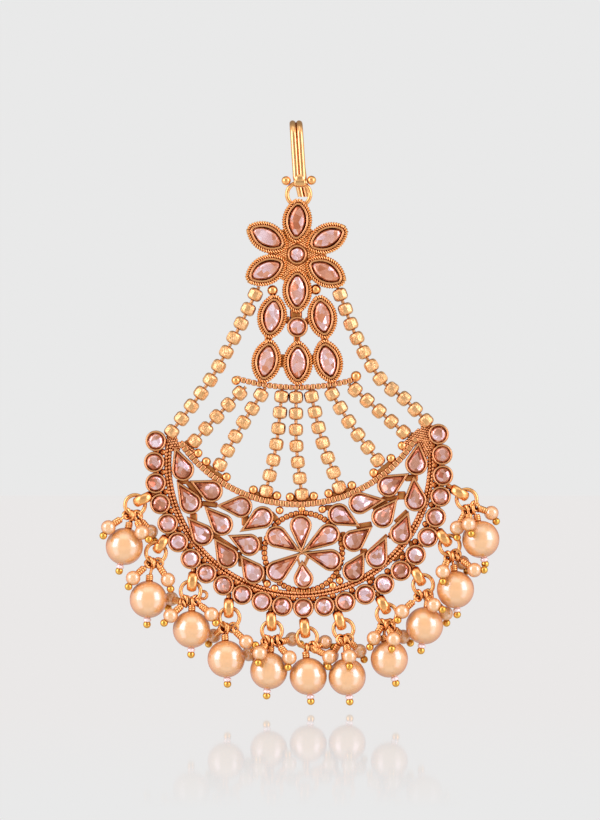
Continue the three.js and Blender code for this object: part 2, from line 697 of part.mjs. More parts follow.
for (const row of STRINGS) jewel.add(...bentString(row));
DROPS.forEach((drop, i) => {
  jewel.add(named(`pearl_${i + 1}`, largePearl(drop), pearl));
  jewel.add(named(`drop_${i + 1}`, dropFindings(drop, crescent.matrix), brightGilt));
});

export default jewel;
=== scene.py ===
import math
from contextlib import contextmanager

import bmesh
import bpy
from mathutils import Matrix, Vector
from mathutils.geometry import interpolate_bezier


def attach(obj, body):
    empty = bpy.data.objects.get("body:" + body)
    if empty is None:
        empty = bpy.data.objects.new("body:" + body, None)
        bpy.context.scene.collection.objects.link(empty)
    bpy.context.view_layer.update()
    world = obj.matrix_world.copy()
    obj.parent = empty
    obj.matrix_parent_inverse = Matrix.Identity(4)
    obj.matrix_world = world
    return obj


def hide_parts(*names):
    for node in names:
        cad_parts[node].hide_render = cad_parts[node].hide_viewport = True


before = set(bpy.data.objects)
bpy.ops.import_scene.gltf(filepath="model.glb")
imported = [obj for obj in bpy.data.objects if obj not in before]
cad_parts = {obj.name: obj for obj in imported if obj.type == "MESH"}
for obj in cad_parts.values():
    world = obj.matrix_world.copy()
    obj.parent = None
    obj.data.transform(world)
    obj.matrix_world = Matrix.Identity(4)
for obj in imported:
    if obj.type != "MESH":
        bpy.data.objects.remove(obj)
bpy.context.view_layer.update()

# A passa: a hook for the hair, a flower crown, bead strings, a pierced crescent and pearl drops.
# Every piece is modelled in millimetres about the jewel's middle plane, with its front towards -Y,
# and is then put in its place in metres.

MM = 0.001
HOOK_DEPTH = 6.6             # between the middles of the hook's front and back legs
CRESCENT_CENTRE = (0.75, 0, -71.9)
CRESCENT_TURN = -1.5         # degrees about Y: its right side is the higher one
JEWEL = Matrix.Scale(MM, 4) @ Matrix.Translation((0, -HOOK_DEPTH / 2, 0))
CRESCENT = (JEWEL @ Matrix.Translation(CRESCENT_CENTRE)
            @ Matrix.Rotation(math.radians(CRESCENT_TURN), 4, "Y"))
FACING_FRONT = (math.pi / 2, 0, 0)
ALONG_X = (0, math.pi / 2, 0)
NEAR = 1e-3                  # millimetres within which two places count as one
WELD = 1e-4                  # millimetres within which doubled points are merged


# ---------------------------------------------------------------- the bench: ways of making a piece

def new_piece(add, **settings):
    """A new primitive, alone in the selection, with its place in its mesh."""
    bpy.ops.object.select_all(action="DESELECT")
    add(**settings)
    bpy.ops.object.transform_apply(location=True, rotation=True, scale=True)
    return bpy.context.object


def hold(piece):
    """Makes one piece the only selected one."""
    bpy.ops.object.select_all(action="DESELECT")
    piece.select_set(True)
    bpy.context.view_layer.objects.active = piece
    return piece


@contextmanager
def edit(piece):
    """Edit mode on one piece, with all of it selected."""
    hold(piece)
    bpy.ops.object.mode_set(mode="EDIT")
    bpy.ops.mesh.select_mode(type="FACE")
    bpy.ops.mesh.select_all(action="SELECT")
    yield
    bpy.ops.object.mode_set(mode="OBJECT")


def choose(kind, wanted):
    """Selects the vertices, edges or faces whose middle is wanted."""
    bpy.ops.mesh.select_all(action="DESELECT")
    bpy.ops.mesh.select_mode(type=kind)
    mesh = bpy.context.object.data
    shape = bmesh.from_edit_mesh(mesh)
    for part in {"VERT": shape.verts, "EDGE": shape.edges, "FACE": shape.faces}[kind]:
        corners = [part] if kind == "VERT" else list(part.verts)
        part.select_set(wanted(sum((v.co for v in corners), Vector()) / len(corners)))
    bmesh.update_edit_mesh(mesh)


def push(offset):
    """Extrudes what is selected along an offset."""
    bpy.ops.mesh.extrude_region_move(TRANSFORM_OT_translate={"value": offset})


def build_up(plate, profile):
    """Raises a flat plate, which faces the front, into a solid through steps of inset and y."""
    with edit(plate):
        inset, y = profile[0]
        bpy.ops.transform.translate(value=(0, y, 0))
        for next_inset, next_y in profile[1:]:
            if next_inset == inset:
                push((0, next_y - y, 0))
            else:
                bpy.ops.mesh.inset(thickness=next_inset - inset, use_even_offset=True)
                bpy.ops.transform.translate(value=(0, next_y - y, 0))
            inset, y = next_inset, next_y
        face_outwards()
    return plate


def face_outwards():
    """Recalculates all the normals of the piece in edit mode."""
    bpy.ops.mesh.select_all(action="SELECT")
    bpy.ops.mesh.normals_make_consistent(inside=False)


def modified(piece, kind, **settings):
    """Applies one modifier to a piece."""
    hold(piece)
    modifier = piece.modifiers.new(kind.lower(), kind)
    for name, value in settings.items():
        setattr(modifier, name, value)
    bpy.ops.object.modifier_apply(modifier=modifier.name)
    return piece


def softened(piece, width, segments=2):
    """Rounds the sharp edges and smooths what is left."""
    modified(piece, "BEVEL", width=width, segments=segments, limit_method="ANGLE",
             angle_limit=math.radians(40), use_clamp_overlap=True)
    return smooth_by_angle(piece, 50)


def smooth_by_angle(piece, degrees):
    """Smooths a piece, but for edges sharper than some degrees."""
    hold(piece)
    bpy.ops.object.shade_smooth_by_angle(angle=math.radians(degrees))
    return piece


def joined(pieces):
    """Several pieces as one, which keeps the first one's origin."""
    bpy.ops.object.select_all(action="DESELECT")
    for piece in pieces:
        piece.select_set(True)
    bpy.context.view_layer.objects.active = pieces[0]
    if len(pieces) > 1:
        bpy.ops.object.join()
    return pieces[0]


def copied(pattern, place):
    """A copy of a pattern, with a mesh of its own, at a place."""
    twin = pattern.copy()
    twin.data = pattern.data.copy()
    twin.data.transform(place)
    bpy.context.collection.objects.link(twin)
    return twin


def repeated(pattern, places):
    """Copies of a pattern at many places, as one piece; the pattern itself is used up."""
    twins = [copied(pattern, place) for place in places]
    bpy.data.objects.remove(pattern)
    return joined(twins)


def finished(piece, name, finish, slot, place=JEWEL, body="pendant", stands_for=()):
    """Names a piece, gives it its finish, puts it in the frame and lets it ride on its body."""
    piece.name = piece.data.name = name
    if finish:
        piece.data.materials.clear()
        piece.data.materials.append(finish)
    piece.data.transform(place)
    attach(piece, body)
    if stands_for:
        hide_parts(*stands_for)
    return piece


def moved(piece, place):
    """Moves a piece to a place, in its mesh."""
    piece.data.transform(place)
    return piece


def at(x, z, turn=0, y=0):
    """Place of a pattern in the jewel's plane, turned counterclockwise by some degrees."""
    return Matrix.Translation((x, y, z)) @ Matrix.Rotation(math.radians(-turn), 4, "Y")


def polar(radius, degrees):
    """Point in the jewel's plane, from a radius and an angle that runs from +X to +Z."""
    angle = math.radians(degrees)
    return radius * math.cos(angle), radius * math.sin(angle)


# ---------------------------------------------------------------- finishes

def linear(code):
    """sRGB hex colour as linear RGBA."""
    parts = [int(code[i:i + 2], 16) / 255 for i in (1, 3, 5)]
    return [p / 12.92 if p <= 0.04045 else ((p + 0.055) / 1.055) ** 2.4 for p in parts] + [1]


def lay(tree, kind, values=None, links=None, **settings):
    """Adds a node: its settings, the values on its sockets, and links from other outputs."""
    node = tree.nodes.new(kind)
    for name, value in settings.items():
        setattr(node, name, value)
    for socket, value in (values or {}).items():
        node.inputs[socket].default_value = value
    for socket, source in (links or {}).items():
        tree.links.new(source, node.inputs[socket])
    return node


def blank_finish(name, values):
    """A new material, its tree and its Principled shader, with values on the shader's sockets."""
    finish = bpy.data.materials.new(name)
    finish.use_nodes = True
    tree = finish.node_tree
    shader = tree.nodes["Principled BSDF"]
    for socket, value in values.items():
        shader.inputs[socket].default_value = value
    return finish, tree, shader


# Scales of the patterns: how many of each lie side by side in a metre.
TONES = 900                  # lighter and darker patches of the plate, 1.1 mm wide
GRAINS = 2600                # its grain, 0.4 mm: coarser than a real satin's 0.1 mm, so that it shows
BATCHES = 170                # batches of stones, 6 mm wide, that share a tint
CLOUDS = 260                 # clouds in a pearl's lustre, 4 mm wide


def gold_plate(name, bright, dull, crevice_shade_and_patina, roughness, grain, crevice):
    """Gold plate over brass: warm and bright where it is rubbed, and dark in the crevices: painted
    shade over a little patina.

    The last two arguments, in metres, are its grain's depth and the reach of the painted crevice shade."""
    finish, tree, shader = blank_finish(name, {"Metallic": 1})
    place = lay(tree, "ShaderNodeTexCoord")
    tone = lay(tree, "ShaderNodeTexNoise", {"Scale": TONES, "Detail": 3},
               {"Vector": place.outputs["Object"]})
    # Painted shade: this mask mixes the dark crevice colour into the plate where the surface is hemmed
    # in, over a little real patina.
    shade = lay(tree, "ShaderNodeAmbientOcclusion", {"Distance": crevice}, samples=6)
    open_part = lay(tree, "ShaderNodeMapRange",
                    {"From Min": 0.2, "From Max": 0.9, "To Min": 0, "To Max": 1},
                    {"Value": shade.outputs["AO"]})
    warmth = lay(tree, "ShaderNodeMix", {6: linear(bright), 7: linear(dull)},
                 {0: tone.outputs["Fac"]}, data_type="RGBA")
    colour = lay(tree, "ShaderNodeMix", {6: linear(crevice_shade_and_patina)},
                 {0: open_part.outputs["Result"], 7: warmth.outputs[2]}, data_type="RGBA")
    fine = lay(tree, "ShaderNodeTexNoise", {"Scale": GRAINS, "Detail": 2},
               {"Vector": place.outputs["Object"]})
    relief = lay(tree, "ShaderNodeBump", {"Strength": 0.5, "Distance": grain},
                 {"Height": fine.outputs["Fac"]})
    wear = lay(tree, "ShaderNodeMapRange",
               {"To Min": roughness - 0.06, "To Max": roughness + 0.1},
               {"Value": tone.outputs["Fac"]})
    tree.links.new(colour.outputs[2], shader.inputs["Base Color"])
    tree.links.new(wear.outputs["Result"], shader.inputs["Roughness"])
    tree.links.new(relief.outputs["Normal"], shader.inputs["Normal"])
    return finish


def foiled_crystal(name, reflection_tints, cell, tilt):
    """Cut crystal over a foil back: small facets, each painted a little brighter or darker to stand
    for the foil's reflections, and facing its own way; and stones that differ a little from batch to
    batch.

    The tints of those painted reflections run from dark to light, `cell` is the facet's size in metres
    and `tilt` its lean."""
    finish, tree, shader = blank_finish(name, {"Metallic": 0.6, "Roughness": 0.16,
                                               "Coat Weight": 0.35, "Coat Roughness": 0.04})
    place = lay(tree, "ShaderNodeTexCoord")
    facet = lay(tree, "ShaderNodeTexVoronoi", {"Scale": 1 / cell, "Randomness": 1},
                {"Vector": place.outputs["Object"]})
    shuffle = lay(tree, "ShaderNodeSeparateColor", links={"Color": facet.outputs["Color"]})
    batch = lay(tree, "ShaderNodeTexNoise", {"Scale": BATCHES, "Detail": 0},
                {"Vector": place.outputs["Object"]})
    paler = lay(tree, "ShaderNodeMapRange", {"From Min": 0.35, "From Max": 0.65},
                {"Value": batch.outputs["Fac"]})
    share = lay(tree, "ShaderNodeMix", {0: 0.3}, {2: shuffle.outputs["Red"],
                                                 3: paler.outputs["Result"]})
    # Painted reflections: each facet takes a tint at random, lighter or darker as the foil's light
    # inside would make it; the batch noise mixed in is the stones' own difference.
    tint = lay(tree, "ShaderNodeValToRGB", links={"Fac": share.outputs[0]})
    ramp = tint.color_ramp
    while len(ramp.elements) < len(reflection_tints):
        ramp.elements.new(0.5)
    for element, (position, code) in zip(ramp.elements, reflection_tints):
        element.position = position
        element.color = linear(code)
    surface = lay(tree, "ShaderNodeNewGeometry")
    lean = lay(tree, "ShaderNodeVectorMath", {1: (0.5, 0.5, 0.5)},
               {0: facet.outputs["Color"]}, operation="SUBTRACT")
    scaled = lay(tree, "ShaderNodeVectorMath", {"Scale": tilt}, {0: lean.outputs[0]},
                 operation="SCALE")
    tilted = lay(tree, "ShaderNodeVectorMath", links={0: surface.outputs["Normal"],
                                                      1: scaled.outputs[0]}, operation="ADD")
    facing = lay(tree, "ShaderNodeVectorMath", links={0: tilted.outputs[0]},
                 operation="NORMALIZE")
    tree.links.new(tint.outputs["Color"], shader.inputs["Base Color"])
    tree.links.new(facing.outputs[0], shader.inputs["Normal"])
    return finish


def shell_pearl(name, heart, edge):
    """Imitation pearl: lacquer over glass, painted paler where it faces the eye and amber at its edge,
    a painted sheen with shade at the limb.
    """
    finish, tree, shader = blank_finish(name, {"Specular IOR Level": 0.1, "Coat Weight": 0.95,
                                               "Coat IOR": 2.7, "Coat Roughness": 0.21})
    place = lay(tree, "ShaderNodeTexCoord")
    rim = lay(tree, "ShaderNodeLayerWeight", {"Blend": 0.4})
    depth = lay(tree, "ShaderNodeMapRange", {"From Min": 0.12, "From Max": 0.8},
                {"Value": rim.outputs["Facing"]})
    # Painted sheen and limb shade: the colour runs from heart to edge by how squarely the surface faces
    # the eye.
    colour = lay(tree, "ShaderNodeMix", {6: linear(heart), 7: linear(edge)},
                 {0: depth.outputs["Result"]}, data_type="RGBA")
    clouds = lay(tree, "ShaderNodeTexNoise", {"Scale": CLOUDS, "Detail": 1},
                 {"Vector": place.outputs["Object"]})
    lustre = lay(tree, "ShaderNodeMapRange", {"To Min": 0.3, "To Max": 0.42},
                 {"Value": clouds.outputs["Fac"]})
    tree.links.new(colour.outputs[2], shader.inputs["Base Color"])
    tree.links.new(lustre.outputs["Result"], shader.inputs["Roughness"])
    return finish


# Antique gold plate on the cast and soldered settings: orange, and brown in the crevices; its darker
# tone on the recessed parts is partly patina and partly painted shade.
patina_and_shade_gold = gold_plate("antique_gold_plate", "#E8A666", "#C27838", "#863A0E", 0.27, 2e-5, 0.0011)
# The same plate where hands and tools have rubbed it bright: rims and beaded wires.
rubbed_gold = gold_plate("rubbed_gold_plate", "#F2BA82", "#D89456", "#944214", 0.24, 1e-5, 0.0008)
# The twisted wires round the marquise settings, bright on their outer turns.
rope_gold = gold_plate("twisted_gold_wire", "#FFCE8E", "#F0B068", "#A85A24", 0.24, 5e-6, 0.0003)
# The crescent's rims: much the same plate, with wider and redder painted shadows in its corners.
wide_shade_gold = gold_plate("aged_gold_plate", "#F4BE86", "#D89256", "#9A4014", 0.25, 1e-5, 0.001)
# Satin, diamond-cut barrels of the strings: the cuts sparkle as a coarse grain.
satin_gold = gold_plate("satin_gold_beads", "#FCD29C", "#E0A45E", "#80380E", 0.3, 3e-4, 0.0014)
# The hook's drawn wires, burnished by being pushed through hair.
burnished_gold = gold_plate("burnished_gold_wire", "#F6C88E", "#E4A660", "#A04C14", 0.17, 3e-6, 0.0006)
# Polished findings: rings, pins and their end balls.
polished_gold = gold_plate("polished_gold_findings", "#FFC884", "#EEA65C", "#984612", 0.2, 5e-6, 0.0009)
# The balls on the head pins: plain brass, yellower than the plate.
ball_brass = gold_plate("polished_brass_pin_balls", "#F4C262", "#D89A3C", "#84480C", 0.16, 2e-6, 0.0008)
# Foil-backed crystal, pale peach, with lilac-white glints painted into some of its facets.
peach_crystal = foiled_crystal("peach_foiled_crystal", [
    (0.0, "#B8683E"), (0.2, "#D88E66"), (0.44, "#E6AE94"), (0.72, "#ECC8C6"), (1.0, "#FFF4FC"),
], 0.0013, 0.55)
# Foil-backed crystal of the crescent, rosier and a little duller, with the same painted facet
# reflections.
rose_crystal = foiled_crystal("rose_foiled_crystal", [
    (0.0, "#94502C"), (0.2, "#C08260"), (0.42, "#D8A892"), (0.7, "#E8CACC"), (1.0, "#FFF2F8"),
], 0.0011, 0.65)
# The bevel of the same stones, painted dark amber: the gold of the setting seen through it, and the
# shade of the bezel round the stone.
bevel_painted_shade = foiled_crystal("crystal_bevel_painted_shade", [
    (0.0, "#6A2A10"), (0.35, "#A0522A"), (0.75, "#CC7E50"), (1.0, "#F0B890"),
], 0.0009, 0.35)
# Champagne pearl lacquer: peach in the middle and amber towards the edge, where shade at the limb is
# painted.
champagne_pearl = shell_pearl("champagne_pearl_lacquer", "#F0BC78", "#C46400")
# Small clear glass beads with a pink cast, under the large pearls, with the same painted shade at the
# edge.
pink_glass = shell_pearl("pink_glass_bead", "#FFF2F2", "#E8BCB0")

ANTIQUE, BRIGHT, STONE, PEARL_SLOT = "antique_gilt", "bright_gilt", "crystal", "pearl"


# ---------------------------------------------------------------- outlines

def marquise_plate(length, width, grown=0.0):
    """Two equal arcs that meet in points: part of a disc cut off by a chord, and its mirror."""
    radius = (length ** 2 + width ** 2) / (4 * width)
    offset = radius - width / 2
    plate = new_piece(bpy.ops.mesh.primitive_circle_add, vertices=32, radius=radius + grown,
                      fill_type="NGON", rotation=FACING_FRONT, location=(-offset, 0, 0))
    with edit(plate):
        bpy.ops.mesh.bisect(plane_co=(0, 0, 0), plane_no=(1, 0, 0), clear_inner=True)
    modified(plate, "MIRROR", use_axis=(True, False, False), merge_threshold=NEAR)
    with edit(plate):
        choose("EDGE", lambda m: abs(m.x) < NEAR)
        bpy.ops.mesh.dissolve_edges()
        face_outwards()
        shape = bmesh.from_edit_mesh(plate.data)
        shape.faces.ensure_lookup_table()
        if shape.faces[0].normal.y > 0:
            bpy.ops.mesh.flip_normals()
    return plate


def pear_plate(reach, radius, sides=24):
    """A disc whose upper corners are drawn together into a point."""
    plate = new_piece(bpy.ops.mesh.primitive_circle_add, vertices=sides, radius=radius,
                      fill_type="NGON", rotation=FACING_FRONT)
    tangent = radius * radius / reach
    with edit(plate):
        choose("VERT", lambda m: m.z > tangent)
        bpy.ops.mesh.merge(type="CENTER")
        tip = bmesh.from_edit_mesh(plate.data)
        height = max(v.co.z for v in tip.verts)
        bpy.ops.transform.translate(value=(0, 0, reach - height))
    return plate


def round_plate(radius, sides=24):
    """A flat disc that faces the front."""
    return new_piece(bpy.ops.mesh.primitive_circle_add, vertices=sides, radius=radius,
                     fill_type="NGON", rotation=FACING_FRONT)


BACK = 0.9                   # back plane of every setting
BRIDGE_BACK = BACK - 0.12    # back plane of the solder bridges, and front of most of them
BRIDGE_FRONT = -0.3
SEAT = -0.3                  # back plane of every stone
DOME = 0.14                  # rise of the ring of facets inside a stone's bevel
FACET_RISE = {"bevel": 0.04, "ring": 0.03, "table": 0.08}    # of the middle of each facet
GEM = 0.77                   # size of a pear's stone, as a share of its setting's
CRESCENT_FRONT = -1.25       # front of the rims of the crescent's cups and pears
FLOWER_FRONT = -1.5          # front of the rims of both flowers' settings


def rim_profile(front):
    """Steps of a setting: a solder ledge, an outer wall, a rounded rim, and a wall to the seat."""
    return [(0, 0.55), (0.03, 0.45), (0.06, front + 0.3), (0.13, front + 0.05), (0.28, front),
            (0.44, front + 0.08), (0.53, front + 0.36)]


def stone(plate, girdle, table, bevel=0.3, crown=0.35, tail=None, crystal=peach_crystal):
    """A stone with a steep girdle, a bevel painted in amber shade, a ring of low facets and a pointed
    table.

    `girdle` and `table` are heights in y, `bevel` and `crown` are the widths of the two slopes.
    Above the height `tail` a pear's point takes the bevel's painted amber too: the shade in the
    setting's point, with the setting seen through it."""
    top = table - DOME
    build_up(plate, [(0, SEAT), (0, girdle), (bevel, table), (bevel + crown, top)])
    plate.data.materials.append(bevel_painted_shade)
    plate.data.materials.append(crystal)
    plate.active_material_index = 1
    with edit(plate):
        choose("FACE", lambda m: table + NEAR < m.y < girdle - NEAR)
        bpy.ops.mesh.poke(offset=FACET_RISE["bevel"])
        choose("FACE", lambda m: m.y < table - NEAR)
        bpy.ops.object.material_slot_assign()
        choose("FACE", lambda m: top + NEAR < m.y < table - NEAR)
        bpy.ops.mesh.poke(offset=FACET_RISE["ring"])
        choose("FACE", lambda m: m.y < top + NEAR)
        bpy.ops.mesh.poke(offset=FACET_RISE["table"])
        # Painted shade: the point of a pear gets the bevel's dark amber, where the setting's recess
        # lies in shade.
        if tail is not None:
            plate.active_material_index = 0
            choose("FACE", lambda m: m.z > tail)
            bpy.ops.object.material_slot_assign()
    bpy.ops.object.shade_flat()
    return plate


def bezel(plate, profile, back=BACK):
    """A setting raised from its plate, with its edges rounded."""
    build_up(plate, [(0, back), *profile])
    return softened(plate, 0.04)


def pear_set(reach, radius, front, tail, crystal):
    """A pear setting and its stone: `front` is the front of its rim."""
    setting = bezel(pear_plate(reach, radius), rim_profile(front))
    gem = stone(pear_plate(reach * GEM, radius * GEM, 14), girdle=front + 0.23,
                table=front - 0.15, tail=tail, crystal=crystal)
    return setting, gem


def drawn_wire(routes, radius):
    """Round wires bent through points, as one mesh. A route is (points, closed)."""
    bpy.ops.object.select_all(action="DESELECT")
    bpy.ops.curve.primitive_bezier_curve_add()
    wire = bpy.context.object
    wire.data.splines.clear()
    for points, closed in routes:
        spline = wire.data.splines.new("BEZIER")
        spline.bezier_points.add(len(points) - 1)
        for knot, point in zip(spline.bezier_points, points):
            knot.co = point
            knot.handle_left_type = knot.handle_right_type = "AUTO"
        spline.use_cyclic_u = closed
    wire.data.resolution_u = 6
    wire.data.bevel_depth = radius
    wire.data.bevel_resolution = 2
    wire.data.use_fill_caps = True
    bpy.ops.object.convert(target="MESH")
    return smooth_by_angle(bpy.context.object, 60)


def rope(path, strand, pitch):
    """Two wires twisted together, a little sunk into each other, and laid along a closed path,
    which is used up."""
    strands = [new_piece(bpy.ops.mesh.primitive_circle_add, vertices=6, radius=strand,
                         rotation=ALONG_X, location=(0, side * strand * 0.62, 0))
               for side in (1, -1)]
    twist = joined(strands)
    modified(twist, "SCREW", axis="X", angle=2 * math.pi, screw_offset=pitch, steps=8,
             render_steps=8)
    hold(path)
    bpy.ops.object.convert(target="CURVE")
    modified(twist, "ARRAY", fit_type="FIT_CURVE", curve=path, use_merge_vertices=True,
             merge_threshold=NEAR)
    modified(twist, "CURVE", object=path, deform_axis="POS_X")
    with edit(twist):
        face_outwards()
    bpy.data.objects.remove(path)
    return smooth_by_angle(twist, 70)


def granule(radius, segments=16, rings=10):
    """A small ball, with its poles to the front and the back."""
    return sphere(segments, rings, radius=radius, rotation=FACING_FRONT)


def sphere(segments, rings, **settings):
    """A smooth ball of some segments and rings."""
    ball = new_piece(bpy.ops.mesh.primitive_uv_sphere_add, segments=segments, ring_count=rings,
                     **settings)
    bpy.ops.object.shade_smooth()
    return ball


def torus(radius, wire, segments):
    """A smooth ring that faces the front."""
    ring = new_piece(bpy.ops.mesh.primitive_torus_add, major_radius=radius, minor_radius=wire,
                     major_segments=segments, minor_segments=12, rotation=FACING_FRONT)
    bpy.ops.object.shade_smooth()
    return ring


def granules(name, table, place=JEWEL):
    """Gold balls soldered on as one piece, from a table of x, z and radius."""
    balls = [moved(granule(radius), at(x, z)) for x, z, radius in table]
    finished(joined(balls), name, polished_gold, ANTIQUE, place)


def block(x, z, width, height, turn=0, front=BRIDGE_FRONT):
    """A solder bridge: a small flat block with worn edges."""
    piece = new_piece(bpy.ops.mesh.primitive_cube_add, size=1,
                      location=(0, (front + BRIDGE_BACK) / 2, 0),
                      scale=(width, BRIDGE_BACK - front, height))
    softened(piece, min(width, height) * 0.22, 3)
    return moved(piece, at(x, z, turn))


def square_bead(y, depth, height):
    """A pillow-shaped bead of a wire that lies across."""
    bead = new_piece(bpy.ops.mesh.primitive_cube_add, size=1, location=(0, y, 0),
                     scale=(1.08, depth, height))
    return softened(bead, 0.3, 3)


# ---------------------------------------------------------------- the hook

PIVOT = (0.82, -12.1)        # x and z of the ring bar that the knuckle turns on
CREST = 0.65 - HOOK_DEPTH / 2
HOOK_FOOT = -14.9            # end of the back leg
LEG_FOOT = PIVOT[1] + 0.9    # end of the front leg, in the solder on the knuckle
HOOK_WIRE = 0.72             # radius of each of its two wires
HOOK_HALF = 0.69             # from the middle of the pair to the middle of each wire
SEAM = {"radius": 0.3, "y": -0.04}
KNUCKLE = {"radius": 1.02, "length": 2.6}
KNUCKLE_SOLDER = {"rise": 0.75, "size": (1.42, 1, 1.25)}
HOOK_KICKS = [0, 0, 0.04, 0.14, 0.27, 0.35]    # the back leg's steps to the right, from its top
HOOK_LEAN = -0.065           # how far the whole hook leans to the right for each step up


def hook_wire(side):
    """One wire of the pair: up the front leg, over the bend, and down with a kick to the right."""
    x = PIVOT[0] + side * HOOK_HALF
    wire = new_piece(bpy.ops.mesh.primitive_circle_add, vertices=28, radius=HOOK_WIRE,
                     location=(x, 0, LEG_FOOT))
    with edit(wire):
        choose("EDGE", lambda m: True)
        push((0, 0, CREST - LEG_FOOT))
        bpy.ops.mesh.spin(steps=14, angle=math.pi, center=(x, HOOK_DEPTH / 2, CREST),
                          axis=(1, 0, 0))
        for kick in HOOK_KICKS:
            push((kick, 0, (HOOK_FOOT - CREST) / len(HOOK_KICKS)))
        for y, foot in ((0, LEG_FOOT), (HOOK_DEPTH, HOOK_FOOT)):
            choose("EDGE", lambda m: abs(m.y - y) < 1 and m.z < foot + NEAR)
            bpy.ops.mesh.edge_face_add()
        bpy.ops.mesh.select_all(action="SELECT")
        bpy.ops.mesh.remove_doubles(threshold=WELD)
        face_outwards()
    return wire


def hair_hook():
    """The double wire with its soldered seam, the knuckle round the ring, and the solder on it."""
    wires = [hook_wire(side) for side in (-1, 1)]
    seam = new_piece(bpy.ops.mesh.primitive_cylinder_add, vertices=12, radius=SEAM["radius"],
                     depth=CREST - PIVOT[1],
                     location=(PIVOT[0], SEAM["y"], (CREST + PIVOT[1]) / 2))
    pair = smooth_by_angle(joined([*wires, seam]), 50)
    lean = Matrix.Identity(4)
    lean[0][2] = HOOK_LEAN
    pivot = Matrix.Translation((0, 0, PIVOT[1]))
    moved(pair, pivot @ lean @ pivot.inverted())
    knuckle = new_piece(bpy.ops.mesh.primitive_cylinder_add, vertices=28,
                        radius=KNUCKLE["radius"], depth=KNUCKLE["length"], rotation=ALONG_X,
                        location=(PIVOT[0], 0, PIVOT[1]))
    softened(knuckle, 0.5, 6)
    bpy.ops.object.shade_smooth()
    solder = sphere(24, 16, radius=1, scale=KNUCKLE_SOLDER["size"],
                    location=(PIVOT[0], 0, PIVOT[1] + KNUCKLE_SOLDER["rise"]))
    finished(joined([pair, knuckle, solder]), "hair_hook_double_wire", burnished_gold, BRIGHT,
             body="hook", stands_for=["hair_hook"])


hair_hook()

# ---------------------------------------------------------------- the crown

FLOWER = (0.25, -27.5)
PETALS = [(90, 7.2, -4), (28.7, 7.3, -3), (-31.3, 7.1, 1), (-90, 7.7, 0), (-153.3, 7.4, -1),
          (150, 7.4, 2)]      # direction, distance of the stone's middle, twist
TIERS = [(-5.1, -40.7, -8.5), (5.6, -40.8, 9), (-6.3, -50.2, -10.5), (0.4, -50.6, 0),
         (6.8, -50.2, 13.5)]  # x, z and turn
CROWN_ROUNDS = [(0.25, -27.5, 2.12), (0.3, -42.9, 2.27)]       # x, z and radius
CROWN_TIES = [(0, -40.2, 2.6, 2.6), (-2.3, -41.4, 2, 1.6), (2.9, -41.6, 2, 1.6),
              (0.2, -45.6, 1.4, 1.6), (-5.9, -45.4, 1.6, 1.4), (6.1, -45.5, 1.6, 1.4),
              (-3, -50.1, 2, 2.8), (3.5, -49.8, 1.6, 2)]       # x, z, width and height
CROWN_GRANULES = [(-2.1, -11.7, 1.0), (3.3, -11.6, 1.0), (-5.0, -35.1, 1.15), (4.2, -34.9, 1.15),
                  (-12.8, -54.3, 1.0), (12.8, -53.4, 1.15)]    # x, z and radius
BAR = {"centre": (0.3, -11.8), "radius": 44, "from": 252.6, "to": 287.0}
MARQUISE = (7.8, 4.4)        # length and width of the plate that the marquise settings grow from
MARQUISE_STONE = (7.1, 3.45)
MARQUISE_RIM = [(0, -0.6), (0.6, -0.7), (0.66, -1.3), (0.74, -1.45), (0.88, -1.5), (1.08, -1.42),
                (1.2, -1.15), (1.36, -0.8)]    # inset and y of its steps, from ledge to seat
PLATE_GROWN = 0.88           # from the marquise plate to the foot of the setting
ROPE_GROWN = 0.58            # and to the middle of the rope border
ROPE = {"strand": 0.31, "pitch": 1.04, "y": -0.95}
FLOWER_PLATE = 6.2           # radius of the plate behind the flower
TOP_RING = {"x": 0.56, "z": -14.6, "radius": 2.47, "wire": 0.45}
GRANULATION = {"radius": 0.3, "y": -0.62, "rows": 9, "pitch": 0.5, "row_pitch": 0.45,
               "first_row": 2.4}


def petal_places():
    """Places of the six petals round the flower's middle."""
    for direction, out, twist in PETALS:
        x, z = polar(out, direction)
        yield at(FLOWER[0] + x, FLOWER[1] + z, direction - 90 + twist)


def marquise_settings(places):
    """The eleven marquise settings, and the twisted wires round them."""
    setting = bezel(marquise_plate(*MARQUISE, PLATE_GROWN), MARQUISE_RIM)
    finished(repeated(setting, places), "crown_marquise_bezels", rubbed_gold, ANTIQUE,
             stands_for=["crown_frame"])
    border = rope(marquise_plate(*MARQUISE, ROPE_GROWN), ROPE["strand"], ROPE["pitch"])
    moved(border, at(0, 0, y=ROPE["y"]))
    finished(repeated(border, places), "crown_rope_borders", rope_gold, ANTIQUE)


def marquise_stones(places):
    """The eleven marquise stones, each a piece of its own."""
    names = [f"petal_stone_{i}" for i in range(1, 7)] + [f"tier_stone_{i}" for i in range(1, 6)]
    gem = stone(marquise_plate(*MARQUISE_STONE), girdle=-1.18, table=-1.6, crown=0.4)
    for name, place in zip(names, places):
        finished(copied(gem, place), name + "_cut", None, STONE, stands_for=[name])
    bpy.data.objects.remove(gem)


def crown_rounds():
    """The two round cups, in the flower's middle and between the tiers, and their stones."""
    cups = []
    for number, (x, z, radius) in enumerate(CROWN_ROUNDS, 1):
        cups.append(moved(bezel(round_plate(radius), rim_profile(FLOWER_FRONT)), at(x, z)))
        gem = stone(round_plate(radius - 0.54, 10), girdle=-1.25, table=-1.7)
        finished(gem, f"crown_round_stone_{number}", None, STONE, JEWEL @ at(x, z))
    finished(joined(cups), "crown_round_cups", rubbed_gold, ANTIQUE)


